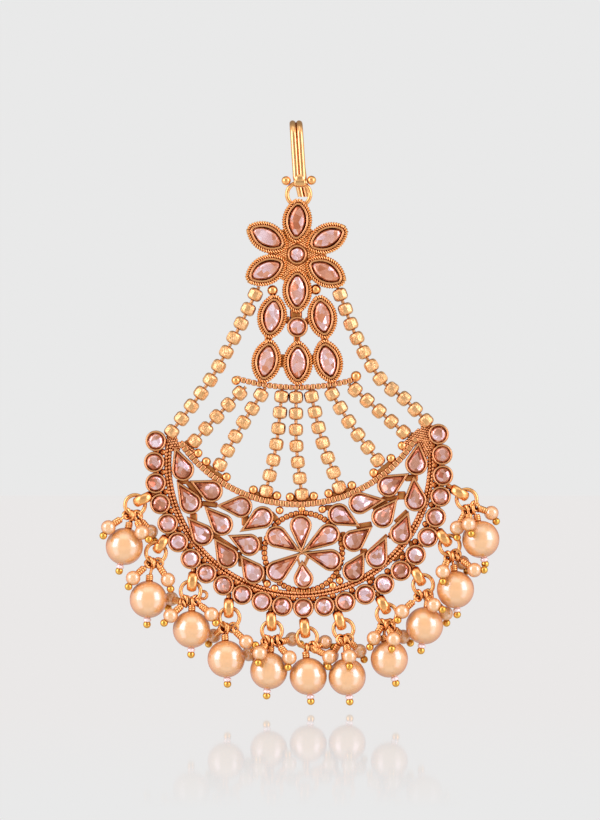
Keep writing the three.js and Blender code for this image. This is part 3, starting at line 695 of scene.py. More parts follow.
def crown_back():
    """The flower's back plate, and the solder bridges between the tiers."""
    plate = bezel(round_plate(FLOWER_PLATE, 40), [(0, -0.5), (0.3, -0.6)], BACK - 0.2)
    bridges = [block(*tie) for tie in CROWN_TIES]
    finished(joined([moved(plate, at(*FLOWER)), *bridges]), "crown_solder_bridges", patina_and_shade_gold,
             ANTIQUE)


def granulation():
    """Rows of fine grains soldered on the plate, in the six gaps between the petals."""
    grain = granule(GRANULATION["radius"], 10, 8)
    places = []
    for direction in range(0, 360, 60):
        gap = at(*FLOWER, direction - 90, GRANULATION["y"])
        for row in range(GRANULATION["rows"]):
            out = GRANULATION["first_row"] + row * GRANULATION["row_pitch"]
            for column in range(-3, 4):
                places.append(gap @ at((column + row % 2 / 2) * GRANULATION["pitch"], out))
    finished(repeated(grain, places), "crown_granulation", rope_gold, ANTIQUE)


def crown_ring():
    """The ring that hangs in the hook's knuckle."""
    ring = torus(TOP_RING["radius"], TOP_RING["wire"], 40)
    finished(moved(ring, at(TOP_RING["x"], TOP_RING["z"])), "crown_top_ring", polished_gold,
             ANTIQUE)


def crown_bar():
    """The bar that the strings hang from: a beaded wire on a curved strip."""
    bead = square_bead(y=0.1, depth=1.6, height=1.25)
    finished(repeated(bead, along_arc(BAR, pitch=1.13)), "crown_bar_beading", rubbed_gold, ANTIQUE)
    strip = arc_strip(BAR, width=0.8, front=-0.2, back=BACK - 0.05)
    finished(strip, "crown_bar_strip", patina_and_shade_gold, ANTIQUE)


def along_arc(arc, pitch):
    """Places at an even pitch along an arc, each turned square to it."""
    sweep = arc["to"] - arc["from"]
    count = round(math.radians(sweep) * arc["radius"] / pitch)
    for i in range(count):
        angle = arc["from"] + sweep * (i + 0.5) / count
        x, z = polar(arc["radius"], angle)
        yield at(arc["centre"][0] + x, arc["centre"][1] + z, angle - 270)


def arc_strip(arc, width, front, back, steps=24):
    """Flat curved strip: a short radial edge swept round the arc's centre, then thickened."""
    x, z = arc["centre"]
    sweep = math.radians(arc["to"] - arc["from"])
    strip = new_piece(bpy.ops.mesh.primitive_plane_add, size=1, rotation=FACING_FRONT)
    with edit(strip):
        bpy.ops.mesh.delete(type="ONLY_FACE")
        choose("VERT", lambda m: m.z > 0)
        bpy.ops.mesh.delete(type="VERT")
    ends = [polar(arc["radius"] + side * width / 2, arc["from"]) for side in (-1, 1)]
    for vertex, (u, v) in zip(strip.data.vertices, ends):
        vertex.co = (x + u, front, z + v)
    with edit(strip):
        bpy.ops.mesh.select_mode(type="EDGE")
        bpy.ops.mesh.select_all(action="SELECT")
        bpy.ops.mesh.spin(steps=steps, angle=sweep, center=(x, front, z), axis=(0, 1, 0))
        bpy.ops.mesh.select_all(action="SELECT")
        bpy.ops.mesh.remove_doubles(threshold=WELD)
        push((0, back - front, 0))
        face_outwards()
    return softened(strip, 0.08)


marquise_places = [*petal_places(), *(at(*tier) for tier in TIERS)]
marquise_settings(marquise_places)
crown_rounds()
marquise_stones(marquise_places)
crown_back()
granulation()
crown_ring()
granules("crown_granules", CROWN_GRANULES)
crown_bar()

# ---------------------------------------------------------------- the crescent, about its centre

# Arcs are in degrees, as is the rim's pitch from one of its round stones to the next.
RIM = {"radius": 31.0, "stones": 25, "pitch": 8.35, "cup": 2.26, "stone": 1.74}
LOWER_WIRE = {"centre": (0, 0), "radius": 28.1, "from": 167.8, "to": 370}
UPPER_WIRE = {"centre": (0, 21.1), "radius": 29.9, "from": 212.6, "to": 327.0}
CIRCLE = {"centre": (0.3, -19.0), "radius": 8.3, "from": 0, "to": 360}
STRIPS = [(UPPER_WIRE, 1.25, -0.2, 0.04, 40), (LOWER_WIRE, 1.5, 0.1, 0.07, 60),
          (CIRCLE, 0.95, -0.1, 0.1, 40)]
# arc, width, front, distance from the common back plane, and steps of the strips under the wires
WING_RIGHT = [(24.9, -0.9, 82, 5.0), (18.8, -5.4, 30, 5.3), (24.5, -8.6, 93, 5.4),
              (12.6, -8.9, 6, 5.9), (8.1, -11.2, -31, 5.4), (17.4, -12.0, 50, 5.3),
              (21.2, -15.6, 69, 5.1), (11.1, -16.9, 36, 5.3), (15.9, -20.6, 64, 5.3),
              (10.9, -23.3, 59, 4.9)]    # x, z, where the pear's point faces, and its reach
WING_LEFT = [(-24.9, -0.8, 108, 5.4), (-18.9, -5.5, 153, 5.3), (-23.5, -7.9, 120, 5.7),
             (-12.7, -9.0, 176, 5.5), (-8.2, -11.4, 211, 5.9), (-16.9, -12.7, 132, 5.7),
             (-21.1, -14.8, 129, 5.3), (-11.2, -17.2, 154, 5.1), (-15.9, -19.7, 123, 5.2),
             (-10.4, -23.2, 125, 5.0)]
WING_PEAR = 2.44              # radius of the round end of each
SOLDER = [(-22.6, -5.3, 4.5, 1.3, -55), (-19.4, -8.3, 3.4, 1.2, -8), (-11.9, -11.9, 1.6, 2.4, 0),
          (-15.9, -17.0, 5.4, 1.3, -35), (-8.2, -23.6, 0.9, 3.6, 0), (-8.8, -17.0, 0.9, 3.0, 0),
          (-5.7, -11.5, 1.4, 2.6, 40), (-25.0, -3.4, 2.6, 1.0, 0), (-18.3, -15.1, 2.0, 1.4, 0),
          (-13.5, -19.4, 1.5, 1.6, 0), (-21.7, -8.0, 1.5, 2.2, 0), (-22.9, -11.0, 1.6, 1.8, 0),
          (-13.0, -21.0, 1.3, 1.6, 0), (-16.2, -23.0, 2.2, 1.3, -30), (-21.5, -18.2, 1.6, 1.2, 0),
          (23.8, -3.8, 2.8, 1.5, 0), (19.1, -8.1, 3.6, 1.2, 4), (17.0, -9.6, 3.6, 1.0, 29),
          (21.4, -12.0, 3.6, 1.0, 42), (13.4, -13.7, 3.4, 1.3, 8), (13.2, -19.6, 1.6, 2.0, 0),
          (16.2, -17.7, 5.6, 0.9, 41), (20.6, -20.4, 3.0, 1.6, 20), (23.5, -17.8, 1.3, 1.3, 0),
          (14.5, -25.2, 2.0, 1.2, 20), (8.9, -16.4, 1.0, 3.0, 0), (6.1, -9.7, 2.0, 1.2, 0),
          (6.0, -12.7, 1.7, 1.3, 30), (21.6, -7.5, 1.8, 1.8, 0), (7.2, -24.4, 2.0, 1.0, 0),
          (19.2, -16.0, 1.4, 1.4, 0)]    # x, z, width, height and turn
FLOWER_PEARS = [(90, 5.7, 6.1, 2.4), (32, 7.0, 7.3, 2.4), (-16, 6.5, 6.8, 2.4),
                (-87, 5.65, 4.1, 2.15), (-144, 6.6, 7.0, 2.4), (146, 6.3, 6.6, 2.4)]
# direction and distance of the round end, reach and radius
FLOWER_CENTRE = (-0.1, -19.1)
FLOWER_SOLDER = [(-0.1, -19.1, 0.9, 0.9, 0, -1.1), (-0.75, -20.9, 0.55, 2.4, 14, -1.0),
                 (0.85, -21.0, 0.8, 2.2, -24, -0.8)]    # x, z, width, height, turn and front
UPPER_GRANULES = [-139.5, -134.4, -123.5, -110.6, -100.2, -94.4, -84.3, -77.7, -67.2, -56.3,
                  -46.6, -39.3]                   # degrees round the upper wire's centre
SADDLES = [(-147, -138), (-136, -122), (-112, -99), (-96, -83), (-79, -66), (-58, -45),
           (-41, -32)]            # the same degrees, under the last bead of each string
GRANULE_RADIUS = 28.4             # of the arcs on which those granules and saddles lie
SADDLE_RADIUS = 28.95
CIRCLE_GRANULES = [(-4.5, -10.0, 0.88), (4.6, -10.0, 0.88), (-7.6, -25.5, 0.88),
                   (-6.0, -26.6, 0.88), (7.9, -25.3, 0.88), (6.4, -26.3, 0.88),
                   (0.2, -9.8, 0.8)]    # x, z and radius
TIPS = [(24.3, 4.2, 5.6, 2.2, 42), (27.0, 5.6, 2.5, 3.4, -14), (27.4, 2.6, 1.8, 3.4, 0),
        (26.1, 2.7, 2.2, 3.6, -8), (26.7, 0.4, 1.0, 2.4, 4),
        (-27.0, 5.7, 2.2, 1.9, 8), (-26.3, 4.2, 1.9, 2.0, 0), (-23.7, 3.8, 4.2, 1.2, -38)]
# x, z, width, height and turn of the grained patches where the crescent's two wires meet
TIP_FRONT = -0.35
TIP_GRAIN = {"radius": 0.3, "pitch": 0.55, "row_pitch": 0.48}
RIM_WANDER = [(0, 0), (6, -0.1), (9.5, -0.45), (13, 0), (16, 0.5), (19, 0.6), (21, -0.1),
              (24, -0.75)]      # slot, and how far out of true its cup sits


def wander(slot):
    """How far out of true the rim is at a slot, between the rows of its table."""
    for (start, low), (end, high) in zip(RIM_WANDER, RIM_WANDER[1:]):
        if slot <= end:
            return low + (high - low) * (slot - start) / (end - start)
    return high


def rim_angle(slot):
    """Direction of a slot from the crescent's centre, in degrees."""
    return -90 + (slot - (RIM["stones"] - 1) / 2) * RIM["pitch"]


def rim():
    """The round cups along the crescent's lower edge, their stones, and solder between them."""
    places = []
    for slot in range(RIM["stones"]):
        x, z = polar(RIM["radius"] + wander(slot), rim_angle(slot))
        places.append(at(x, z, rim_angle(slot) * 3))
    cup = bezel(round_plate(RIM["cup"], 26), rim_profile(CRESCENT_FRONT))
    finished(repeated(cup, places), "crescent_rim_cups", wide_shade_gold, ANTIQUE, CRESCENT,
             stands_for=["crescent_frame"])
    gem = stone(round_plate(RIM["stone"], 10), girdle=-1.02, table=-1.4, bevel=0.34,
                crystal=rose_crystal)
    finished(repeated(gem, places), "crescent_rim_stones", None, STONE, CRESCENT)
    joint = granule(0.72, 12, 8)
    joints = [at(*polar(RIM["radius"] + wander(slot) - inwards, rim_angle(slot + 0.5)), y=0.1)
              for slot in range(RIM["stones"] - 1) for inwards in (0.4, 1.75)]
    finished(repeated(joint, joints), "crescent_rim_solder", patina_and_shade_gold, ANTIQUE, CRESCENT)


def wings():
    """The leaves on both sides of the circle, their stones, and the solder behind them."""
    settings, gems = [], []
    for x, z, points, reach in WING_RIGHT + WING_LEFT:
        place = at(x, z, points - 90)
        setting, gem = pear_set(reach, WING_PEAR, CRESCENT_FRONT, tail=1.5, crystal=rose_crystal)
        settings.append(moved(setting, place))
        gems.append(moved(gem, place))
    finished(joined(settings), "crescent_wing_bezels", wide_shade_gold, ANTIQUE, CRESCENT)
    finished(joined(gems), "crescent_wing_stones", None, STONE, CRESCENT)
    bridges = [block(*bridge, front=0.1) for bridge in SOLDER]
    finished(joined(bridges), "crescent_solder_bridges", patina_and_shade_gold, ANTIQUE, CRESCENT)


def circle_flower():
    """Six pears about the middle of the circle, and the solder between them."""
    settings = [block(*patch, front=front) for *patch, front in FLOWER_SOLDER]
    for number, (direction, out, reach, radius) in enumerate(FLOWER_PEARS, 1):
        x, z = polar(out, direction)
        place = at(FLOWER_CENTRE[0] + x, FLOWER_CENTRE[1] + z, direction + 90)
        setting, gem = pear_set(reach, radius, FLOWER_FRONT, tail=1.8, crystal=peach_crystal)
        settings.append(moved(setting, place))
        finished(gem, f"flower_stone_{number}_cut", None, STONE, CRESCENT @ place,
                 stands_for=[f"flower_stone_{number}"])
    finished(joined(settings), "crescent_flower_bezels", wide_shade_gold, ANTIQUE, CRESCENT)


def beaded_wires():
    """The beaded wires of the two edges and the circle, and the strips that carry them."""
    bead = square_bead(y=0.05, depth=1.7, height=1.38)
    finished(repeated(bead, along_arc(UPPER_WIRE, pitch=1.1)), "crescent_upper_beading",
             rubbed_gold, ANTIQUE, CRESCENT)
    grain = moved(granule(0.45, 10, 8), at(0, 0, y=-0.1))
    rows = [place for side in (-1, 1)
            for place in along_arc({**LOWER_WIRE, "radius": LOWER_WIRE["radius"] + side * 0.4,
                                    "from": LOWER_WIRE["from"] + side * 0.35}, pitch=0.74)]
    finished(repeated(grain, rows), "crescent_lower_beading", rubbed_gold, ANTIQUE, CRESCENT)
    ring = softened(new_piece(bpy.ops.mesh.primitive_cylinder_add, vertices=12, radius=0.66,
                              depth=0.98, rotation=ALONG_X), 0.26)
    finished(repeated(ring, along_arc(CIRCLE, pitch=1.06)), "crescent_circle_beading",
             patina_and_shade_gold, ANTIQUE, CRESCENT)
    strips = [arc_strip(arc, width, front, BACK - setback, steps)
              for arc, width, front, setback, steps in STRIPS]
    for start, end in SADDLES:
        saddle = {**UPPER_WIRE, "radius": SADDLE_RADIUS, "from": start, "to": end}
        strips.append(arc_strip(saddle, width=1.1, front=-0.2, back=BACK - 0.16, steps=8))
    finished(joined(strips), "crescent_wire_strips", patina_and_shade_gold, ANTIQUE, CRESCENT)


def crescent_granules():
    """Balls over the upper wire, between the strings, and round the circle."""
    table = []
    for angle in UPPER_GRANULES:
        x, z = polar(GRANULE_RADIUS, angle)
        table.append((UPPER_WIRE["centre"][0] + x, UPPER_WIRE["centre"][1] + z, 1.0))
    granules("crescent_granules", table + CIRCLE_GRANULES, CRESCENT)


def tips():
    """Solder patches over the joints of the two wires, covered with rows of grains."""
    grain = granule(TIP_GRAIN["radius"], 8, 6)
    pieces = []
    for x, z, width, height, turn in TIPS:
        pieces.append(block(x, z, width, height, turn, TIP_FRONT))
        columns = round(width / TIP_GRAIN["pitch"])
        rows = round(height / TIP_GRAIN["row_pitch"])
        for row in range(rows):
            for column in range(columns):
                across = (column - (columns - 1) / 2 + (row % 2 - 0.5) / 2) * width / columns
                up = (row - (rows - 1) / 2) * height / rows
                place = at(x, z, turn) @ at(across, up, y=TIP_FRONT - 0.05)
                pieces.append(copied(grain, place))
    bpy.data.objects.remove(grain)
    finished(joined(pieces), "crescent_tip_grains", rubbed_gold, ANTIQUE, CRESCENT)


rim()
wings()
circle_flower()
beaded_wires()
crescent_granules()
tips()

# ---------------------------------------------------------------- bead strings

STRINGS = [
    ("string_a", 5, [(-12.0, -57.0), (-16.6, -61.7), (-21.6, -67.2)]),
    ("string_b", 6, [(-7.5, -57.4), (-11.9, -64.4), (-16.2, -72.3)]),
    ("string_c", 7, [(-3.1, -57.75), (-4.2, -68.0), (-6.4, -77.9)]),
    ("string_d", 7, [(0.0, -57.9), (0.1, -68.4), (1.2, -78.6)]),
    ("string_e", 7, [(3.3, -57.75), (5.6, -67.3), (9.2, -77.1)]),
    ("string_f", 6, [(7.7, -57.2), (11.8, -63.9), (17.4, -71.3)]),
    ("string_g", 5, [(12.6, -56.3), (17.6, -60.7), (22.9, -65.3)]),
    ("string_left", 11, [(-8.7, -36.0), (-13.1, -44.9), (-18.3, -54.2), (-26.5, -65.2)]),
    ("string_right", 11, [(9.4, -36.0), (12.9, -45.1), (18.0, -54.0), (23.2, -58.3),
                          (27.7, -62.9)]),
]      # name, beads, and x and z of points on the string from its first bead to its last
STRETCHES = {"string_left": 3, "string_right": 3}    # nodes of the two strings made of several
BARREL = {"radius": 1.55, "length": 2.66, "flutes": 10, "flute_depth": 0.045, "turn": 0.7}
THREAD = {"radius": 0.36, "before": 1.9, "after": 1.7}
# A barrel's flute is cut in by a share of its radius, and each barrel is turned by some radians
# about the thread from the one before it. The thread runs on past the middles of its end barrels.


def smooth_line(points):
    """A smooth line through points in the jewel's plane, in twelve steps between each two."""
    knots = [Vector((x, 0, z)) for x, z in points]
    ends = [knots[0] * 2 - knots[1], *knots, knots[-1] * 2 - knots[-2]]
    line = []
    for before, start, end, after in zip(ends, ends[1:], ends[2:], ends[3:]):
        length = (end - start).length
        leave = (end - before).normalized() * length / 3
        arrive = (after - start).normalized() * length / 3
        line += interpolate_bezier(start, start + leave, end - arrive, end, 12)[:-1]
    return [*line, knots[-1]]


def evenly(line, count):
    """Points and directions at even distances along a line."""
    lengths = [(b - a).length for a, b in zip(line, line[1:])]
    spacing = sum(lengths) / (count - 1)
    for i in range(count):
        left = i * spacing
        for start, end, length in zip(line, line[1:], lengths):
            if left <= length + WELD:
                break
            left -= length
        yield start.lerp(end, min(left / length, 1)), (end - start).normalized()


def barrel():
    """A barrel bead, upright, cut with shallow flutes from end to end."""
    bead = new_piece(bpy.ops.mesh.primitive_cylinder_add, vertices=2 * BARREL["flutes"],
                     radius=BARREL["radius"], depth=BARREL["length"])
    softened(bead, 0.9, 6)
    step = math.pi / BARREL["flutes"]
    with edit(bead):
        choose("VERT", lambda m: round(math.atan2(m.y, m.x) / step) % 2)
        waist = 1 - BARREL["flute_depth"]
        bpy.ops.transform.resize(value=(waist, waist, 1), center_override=(0, 0, 0))
    return smooth_by_angle(bead, 22)


def strings():
    """Nine strings of barrels, each bead turned a little further about its thread."""
    bead = barrel()
    for name, count, points in STRINGS:
        line = smooth_line(points)
        beads = []
        for i, (place, along) in enumerate(evenly(line, count)):
            tilt = Vector((0, 0, 1)).rotation_difference(along).to_matrix().to_4x4()
            spin = Matrix.Rotation(i * BARREL["turn"], 4, "Z")
            beads.append(copied(bead, Matrix.Translation(place) @ tilt @ spin))
        start = line[0] - (line[1] - line[0]).normalized() * THREAD["before"]
        end = line[-1] + (line[-1] - line[-2]).normalized() * THREAD["after"]
        thread = drawn_wire([([start, *line[::4], end], False)], THREAD["radius"])
        nodes = [f"{name}_{i + 1}" for i in range(STRETCHES.get(name, 0))] or [name]
        finished(joined([*beads, thread]), name + "_beads", satin_gold, BRIGHT, stands_for=nodes)
    bpy.data.objects.remove(bead)


strings()

# ---------------------------------------------------------------- the fringe of pearl drops

# The eleven drops. `slot` and `root` say where on the rim the lug's neck starts. `lug`, `ring` and
# `pin` are the directions of the lug, the jump ring and the large pearl's pin, in degrees. `x` and
# `z` are the large pearl's middle. `small` lists the small pearls: x, y and z from the large one,
# and the lean of the ball on their pin. `spare` is the x and z of a loop with no pearl.
DROPS = [
    {"slot": 2.5, "root": 32.1, "lug": -156, "ring": -54, "x": -36.6, "z": -89.7, "pin": -12,
     "small": [(-3.35, -2.4, 4.1, -31), (3.8, -3.2, 3.05, 45), (5.6, 1.5, 3.1, 20)]},
    {"slot": 4.5, "root": 32.2, "lug": -128, "ring": -32, "x": -31.5, "z": -101.0, "pin": -3,
     "small": [(-3.2, -1.6, 4.6, -28), (4.2, -0.6, 4.2, 16)]},
    {"slot": 6.5, "root": 32.3, "lug": -98, "ring": -10, "x": -22.3, "z": -107.4, "pin": -1,
     "small": [(-4.4, 3.5, 6.4, -20), (-4.4, -2.4, 3.0, -42), (4.3, -2.1, 3.3, 27)],
     "spare": (-19.8, -100.1)},
    {"slot": 8.5, "root": 32.4, "lug": -92, "ring": 4, "x": -14.9, "z": -113.7, "pin": 3,
     "small": [(-2.7, 3.2, 4.8, -32), (4.3, -1.4, 3.7, 71)]},
    {"slot": 10.5, "root": 32.1, "lug": -88, "ring": 3, "x": -5.8, "z": -116.2, "pin": -5,
     "small": [(-4.3, 3.3, 3.4, 49), (-1.9, -3.9, 3.9, -10), (4.4, -2.5, 2.9, -9),
               (5.0, 2.5, 6.6, 60)]},
    {"slot": 12, "root": 33.0, "lug": -85, "ring": 14, "x": 2.6, "z": -117.4, "pin": 6,
     "small": [(4.5, -1.7, 4.2, -7), (3.6, 1.6, 7.2, 60)]},
    {"slot": 13.5, "root": 32.4, "lug": -73, "ring": 23, "x": 10.9, "z": -117.5, "pin": 6,
     "small": [(0.45, -3.7, 4.5, 0), (2.65, 1.6, 5.4, 29), (-3.3, 2.0, 4.4, -30)]},
    {"slot": 15.5, "root": 32.9, "lug": -63, "ring": 20, "x": 19.9, "z": -113.7, "pin": 15,
     "small": [(-3.3, -1.8, 4.5, -25), (0.8, -3.8, 4.35, -10), (3.0, 2.9, 4.6, 49)]},
    {"slot": 17.5, "root": 32.9, "lug": -62, "ring": 30, "x": 27.4, "z": -106.6, "pin": -8,
     "small": [(-4.8, -2.4, 3.1, -28), (1.9, -3.2, 4.5, 63), (4.6, 2.6, 2.5, 5)]},
    {"slot": 19.5, "root": 32.6, "lug": -52, "ring": 38, "x": 34.0, "z": -98.9, "pin": 4,
     "small": [(-2.8, -3.3, 3.9, 0), (4.0, -1.2, 4.2, 90), (1.5, 1.6, 5.7, 30)]},
    {"slot": 21.5, "root": 32.6, "lug": -33, "ring": 48, "x": 39.4, "z": -88.2, "pin": 10,
     "small": [(-5.1, -1.6, 2.5, 0), (-2.7, -4.0, 3.3, 14), (2.3, 1.1, 5.6, 30)]},
]
LUG = {"neck": 2.2, "radius": 1.45, "wire": 0.74, "stretch": (1.05, 0.95, 1.5, 1)}
JUMP_RING = {"radius": 2.13, "wire": 0.43}
PEARL = 4.0                  # radii of the large and the small pearls
SMALL_PEARL = 1.56
PIN = 0.33                   # radius of the pins' wire
MAIN_PIN = {"loop": 1.0, "coil": 0.5, "turns": 3}
SMALL_PIN = {"loop": 0.95, "second_loop": 0.75, "coil": 0.46, "turns": 3.5, "longest": 1.7,
             "shortest": 0.6}      # the last two are lengths of the coil
BEND_CLEARANCE = 0.9         # from the large pearl's surface to a bent pin's middle
WIDEST = 55                  # degrees between a small pearl's pin and the large pearl's, at most
SPREAD = 0.7                 # share of those degrees by which the small pearl's loop is turned
# `below` is measured from a large pearl's surface, and `below_small` from a small one's middle.
PIN_BALL = {"radius": 0.84, "below": 1.35, "below_small": 2.05}
CLEAR_BEAD = {"radius": 0.85, "flatness": 0.68, "below": 0.4}


def leaning(degrees):
    """Downwards in the jewel's plane, leaning to the right by some degrees."""
    angle = math.radians(degrees)
    return Vector((math.sin(angle), 0, -math.cos(angle)))


def lean_of(offset):
    """How many degrees an offset leans to the right from straight down."""
    return math.degrees(math.atan2(offset.x, -offset.z))


def lug_centre(drop):
    """Middle of a drop's lug, about the crescent's centre."""
    root = Vector(polar(drop["root"], rim_angle(drop["slot"])))
    x, z = root + Vector(polar(LUG["neck"], drop["lug"]))
    return Vector((x, 0, z))


def lugs():
    """Eyes that stand edge-on to the front, each soldered between two rim cups."""
    eye = new_piece(bpy.ops.mesh.primitive_torus_add, major_radius=LUG["radius"],
                    minor_radius=LUG["wire"], major_segments=24, minor_segments=12)
    moved(eye, Matrix.Diagonal(LUG["stretch"]))
    neck = new_piece(bpy.ops.mesh.primitive_cylinder_add, vertices=12, radius=0.55, depth=1.8,
                     rotation=ALONG_X, location=(-LUG["neck"] - 0.1, 0, 0))
    pattern = softened(joined([eye, neck]), 0.15)
    bpy.ops.object.shade_smooth()
    places = [Matrix.Translation(lug_centre(drop)) @ at(0, 0, drop["lug"]) for drop in DROPS]
    finished(repeated(pattern, places), "crescent_lugs", polished_gold, ANTIQUE, CRESCENT)


def coil(start, end, radius, turns):
    """Points of a wire wound round the line from start to end, eight to the turn."""
    along = end - start
    aside = along.cross(Vector((0.3, 1, 0.2))).normalized()
    across = along.cross(aside).normalized()
    steps = round(turns * 8)
    return [start + along * i / steps + (aside * math.cos(i * math.pi / 4)
                                         + across * math.sin(i * math.pi / 4)) * radius
            for i in range(steps + 1)]


def loop(centre, radius, normal):
    """Points of a closed loop of wire, with its axis along the normal."""
    turn = Vector((0, 0, 1)).rotation_difference(Vector(normal))
    return [centre + turn @ Vector((radius * math.cos(a), radius * math.sin(a), 0))
            for a in (i * math.pi / 4 for i in range(8))]


def main_pin(ring_centre, lean, middle, down):
    """Routes of the large pearl's pin: its loop, its stem, the coil above it, and its lower end."""
    hang = ring_centre + leaning(lean) * JUMP_RING["radius"]
    top = middle - down * (PEARL + 0.35)
    wound = coil(top - down * 0.8, middle - down * (PEARL - 0.1), MAIN_PIN["coil"],
                 MAIN_PIN["turns"])
    return [(loop(hang + leaning(lean) * 0.25, MAIN_PIN["loop"], (1, 0.25, 0)), True),
            ([hang + leaning(lean) * 0.9, top, middle - down * (PEARL - 0.4)], False),
            (wound, False),
            ([middle + down * (PEARL - 0.3), middle + down * (PEARL + 1)], False)]


def hanging_pin(ring_centre, lean, end, middle, sway):
    """Routes of a small pearl's pin: two loops from the jump ring, a stem that passes clear of
    the large pearl, and a coil above the small one. `sway` turns the loops about, in radians."""
    hang = ring_centre + leaning(lean) * JUMP_RING["radius"]
    normal = Vector((math.cos(sway), math.sin(sway), 0.25 * math.sin(sway * 2))).normalized()
    foot = hang + leaning(lean) * SMALL_PIN["second_loop"]
    neck = end - (end - foot).normalized() * (SMALL_PEARL + 0.1)
    clear = foot.lerp(neck, 0.55) - middle
    bends = []
    if clear.length < PEARL + 0.7:
        bends = [middle + clear.normalized() * (PEARL + BEND_CLEARANCE)]
    last = [foot, *bends][-1]
    down = (end - last).normalized()
    length = min(SMALL_PIN["longest"], (end - last).length - SMALL_PEARL - 0.2)
    top = end - down * (SMALL_PEARL + max(length, SMALL_PIN["shortest"]))
    wound = coil(top, end - down * (SMALL_PEARL - 0.15), SMALL_PIN["coil"], SMALL_PIN["turns"])
    crossed = (normal.y, -normal.x, 0.4)
    return [(loop(hang + leaning(lean) * 0.15, SMALL_PIN["loop"], normal), True),
            (loop(foot, SMALL_PIN["second_loop"], crossed), True),
            ([foot, *bends, end], False),
            (wound, False)]


def of(finish, piece):
    """Gives a piece its finish, for a joined piece of more than one."""
    piece.data.materials.clear()
    piece.data.materials.append(finish)
    return piece


def drop_patterns():
    """One of each part that the drops repeat: large and small pearl, glass bead, ball and ring."""
    glass = sphere(16, 10, radius=CLEAR_BEAD["radius"], scale=(1, 1, CLEAR_BEAD["flatness"]))
    return {"pearl": sphere(48, 28, radius=PEARL), "small": sphere(28, 16, radius=SMALL_PEARL),
            "glass": glass, "ball": of(ball_brass, granule(PIN_BALL["radius"])),
            "ring": of(polished_gold, torus(JUMP_RING["radius"], JUMP_RING["wire"], 36))}


def pearl_drop(number, drop, patterns):
    """One drop: a jump ring in its lug, the large pearl on its pin, and the small ones beside."""
    middle = Vector((drop["x"], 0, drop["z"]))
    centre = JEWEL.inverted() @ CRESCENT @ lug_centre(drop)
    centre += leaning(drop["ring"]) * JUMP_RING["radius"]
    down = leaning(drop["pin"])
    tilt = at(0, 0, drop["pin"])
    finished(copied(patterns["pearl"], Matrix.Translation(middle) @ tilt),
             f"pearl_{number}_lacquered", champagne_pearl, PEARL_SLOT,
             stands_for=[f"pearl_{number}"])
    under = Matrix.Translation(middle + down * (PEARL + CLEAR_BEAD["below"])) @ tilt
    finished(copied(patterns["glass"], under), f"drop_{number}_clear_bead", pink_glass, STONE)

    lean = lean_of(middle - down * (PEARL + 0.7) - centre)
    routes = main_pin(centre, lean, middle, down)
    balls = [middle + down * (PEARL + PIN_BALL["below"])]
    ring = copied(patterns["ring"], Matrix.Translation(centre))
    pearls = []
    for i, (x, y, z, ball_lean) in enumerate(drop["small"]):
        end = middle + Vector((x, y, z))
        spread = max(-WIDEST, min(WIDEST, lean_of(end - centre) - lean))
        routes += hanging_pin(centre, lean + spread * SPREAD, end, middle, sway=0.6 + 0.8 * i)
        pearls.append(copied(patterns["small"], Matrix.Translation(end)))
        out = Vector((0, y * 0.12, 0))
        balls.append(end + leaning(ball_lean) * PIN_BALL["below_small"] + out)
    if "spare" in drop:
        x, z = drop["spare"]
        routes.append((loop(Vector((x, 0.8, z)), 0.8, (0.2, 1, 0.1)), True))
    metal = [ring, *(copied(patterns["ball"], Matrix.Translation(ball)) for ball in balls),
             of(polished_gold, drawn_wire(routes, PIN))]
    finished(joined(pearls), f"drop_{number}_small_pearls", champagne_pearl, PEARL_SLOT)
    finished(joined(metal), f"drop_{number}_findings", None, BRIGHT,
             stands_for=[f"drop_{number}"])


def fringe():
    """The eleven drops along the crescent's lower edge."""
    patterns = drop_patterns()
    for number, drop in enumerate(DROPS, 1):
        pearl_drop(number, drop, patterns)
    for pattern in patterns.values():
        bpy.data.objects.remove(pattern)


lugs()
fringe()

# ---------------------------------------------------------------- studio

MIDDLE = (0.85, -60.6)       # what the camera looks at, x and z in millimetres
VIEW_HEIGHT = 174.9          # millimetres from the top to the bottom of the picture
DISTANCE = 1.2               # metres from the camera to the jewel's middle plane
SENSOR = 36
MIDPLANE = -HOOK_DEPTH / 2 * MM
AIM = (0.001, MIDPLANE, -0.068)    # where the softboxes point
FLOOR = -0.1246
BACKDROP = "#E9E9E9"
# How bright the room is over the directions around the jewel, as steps along an axis: where each
# starts and ends, its factors there, its shape, and how it joins the steps before it.
ROOM = [
    ("X", 0.5, 0.9, 0.66, 1.8, "SMOOTHSTEP", "MULTIPLY"),     # side walls
    ("Z", 0.3, 0.85, 1.0, 1.15, "LINEAR", "MULTIPLY"),        # ceiling
    ("Y", -0.1, 0.35, 1.0, 0.6, "LINEAR", "MULTIPLY"),        # dimmer behind the jewel
    ("Y", 0.93, 0.985, 0.0, 0.58, "LINEAR", "ADD"),           # backdrop, which the floor mirrors
]
SOFTBOXES = [
    ("left_softbox", (-0.8, -0.48, 0.0), (0.55, 1.5), 8.8, "#F6DEFF"),
    ("right_softbox", (0.8, -0.5, -0.03), (0.55, 1.5), 8.2, "#F6DEFF"),
    ("top_softbox", (0.0, -0.4, 0.8), (0.9, 0.6), 1.2, "#FFFFFF"),
]      # name, place, size, watts and colour


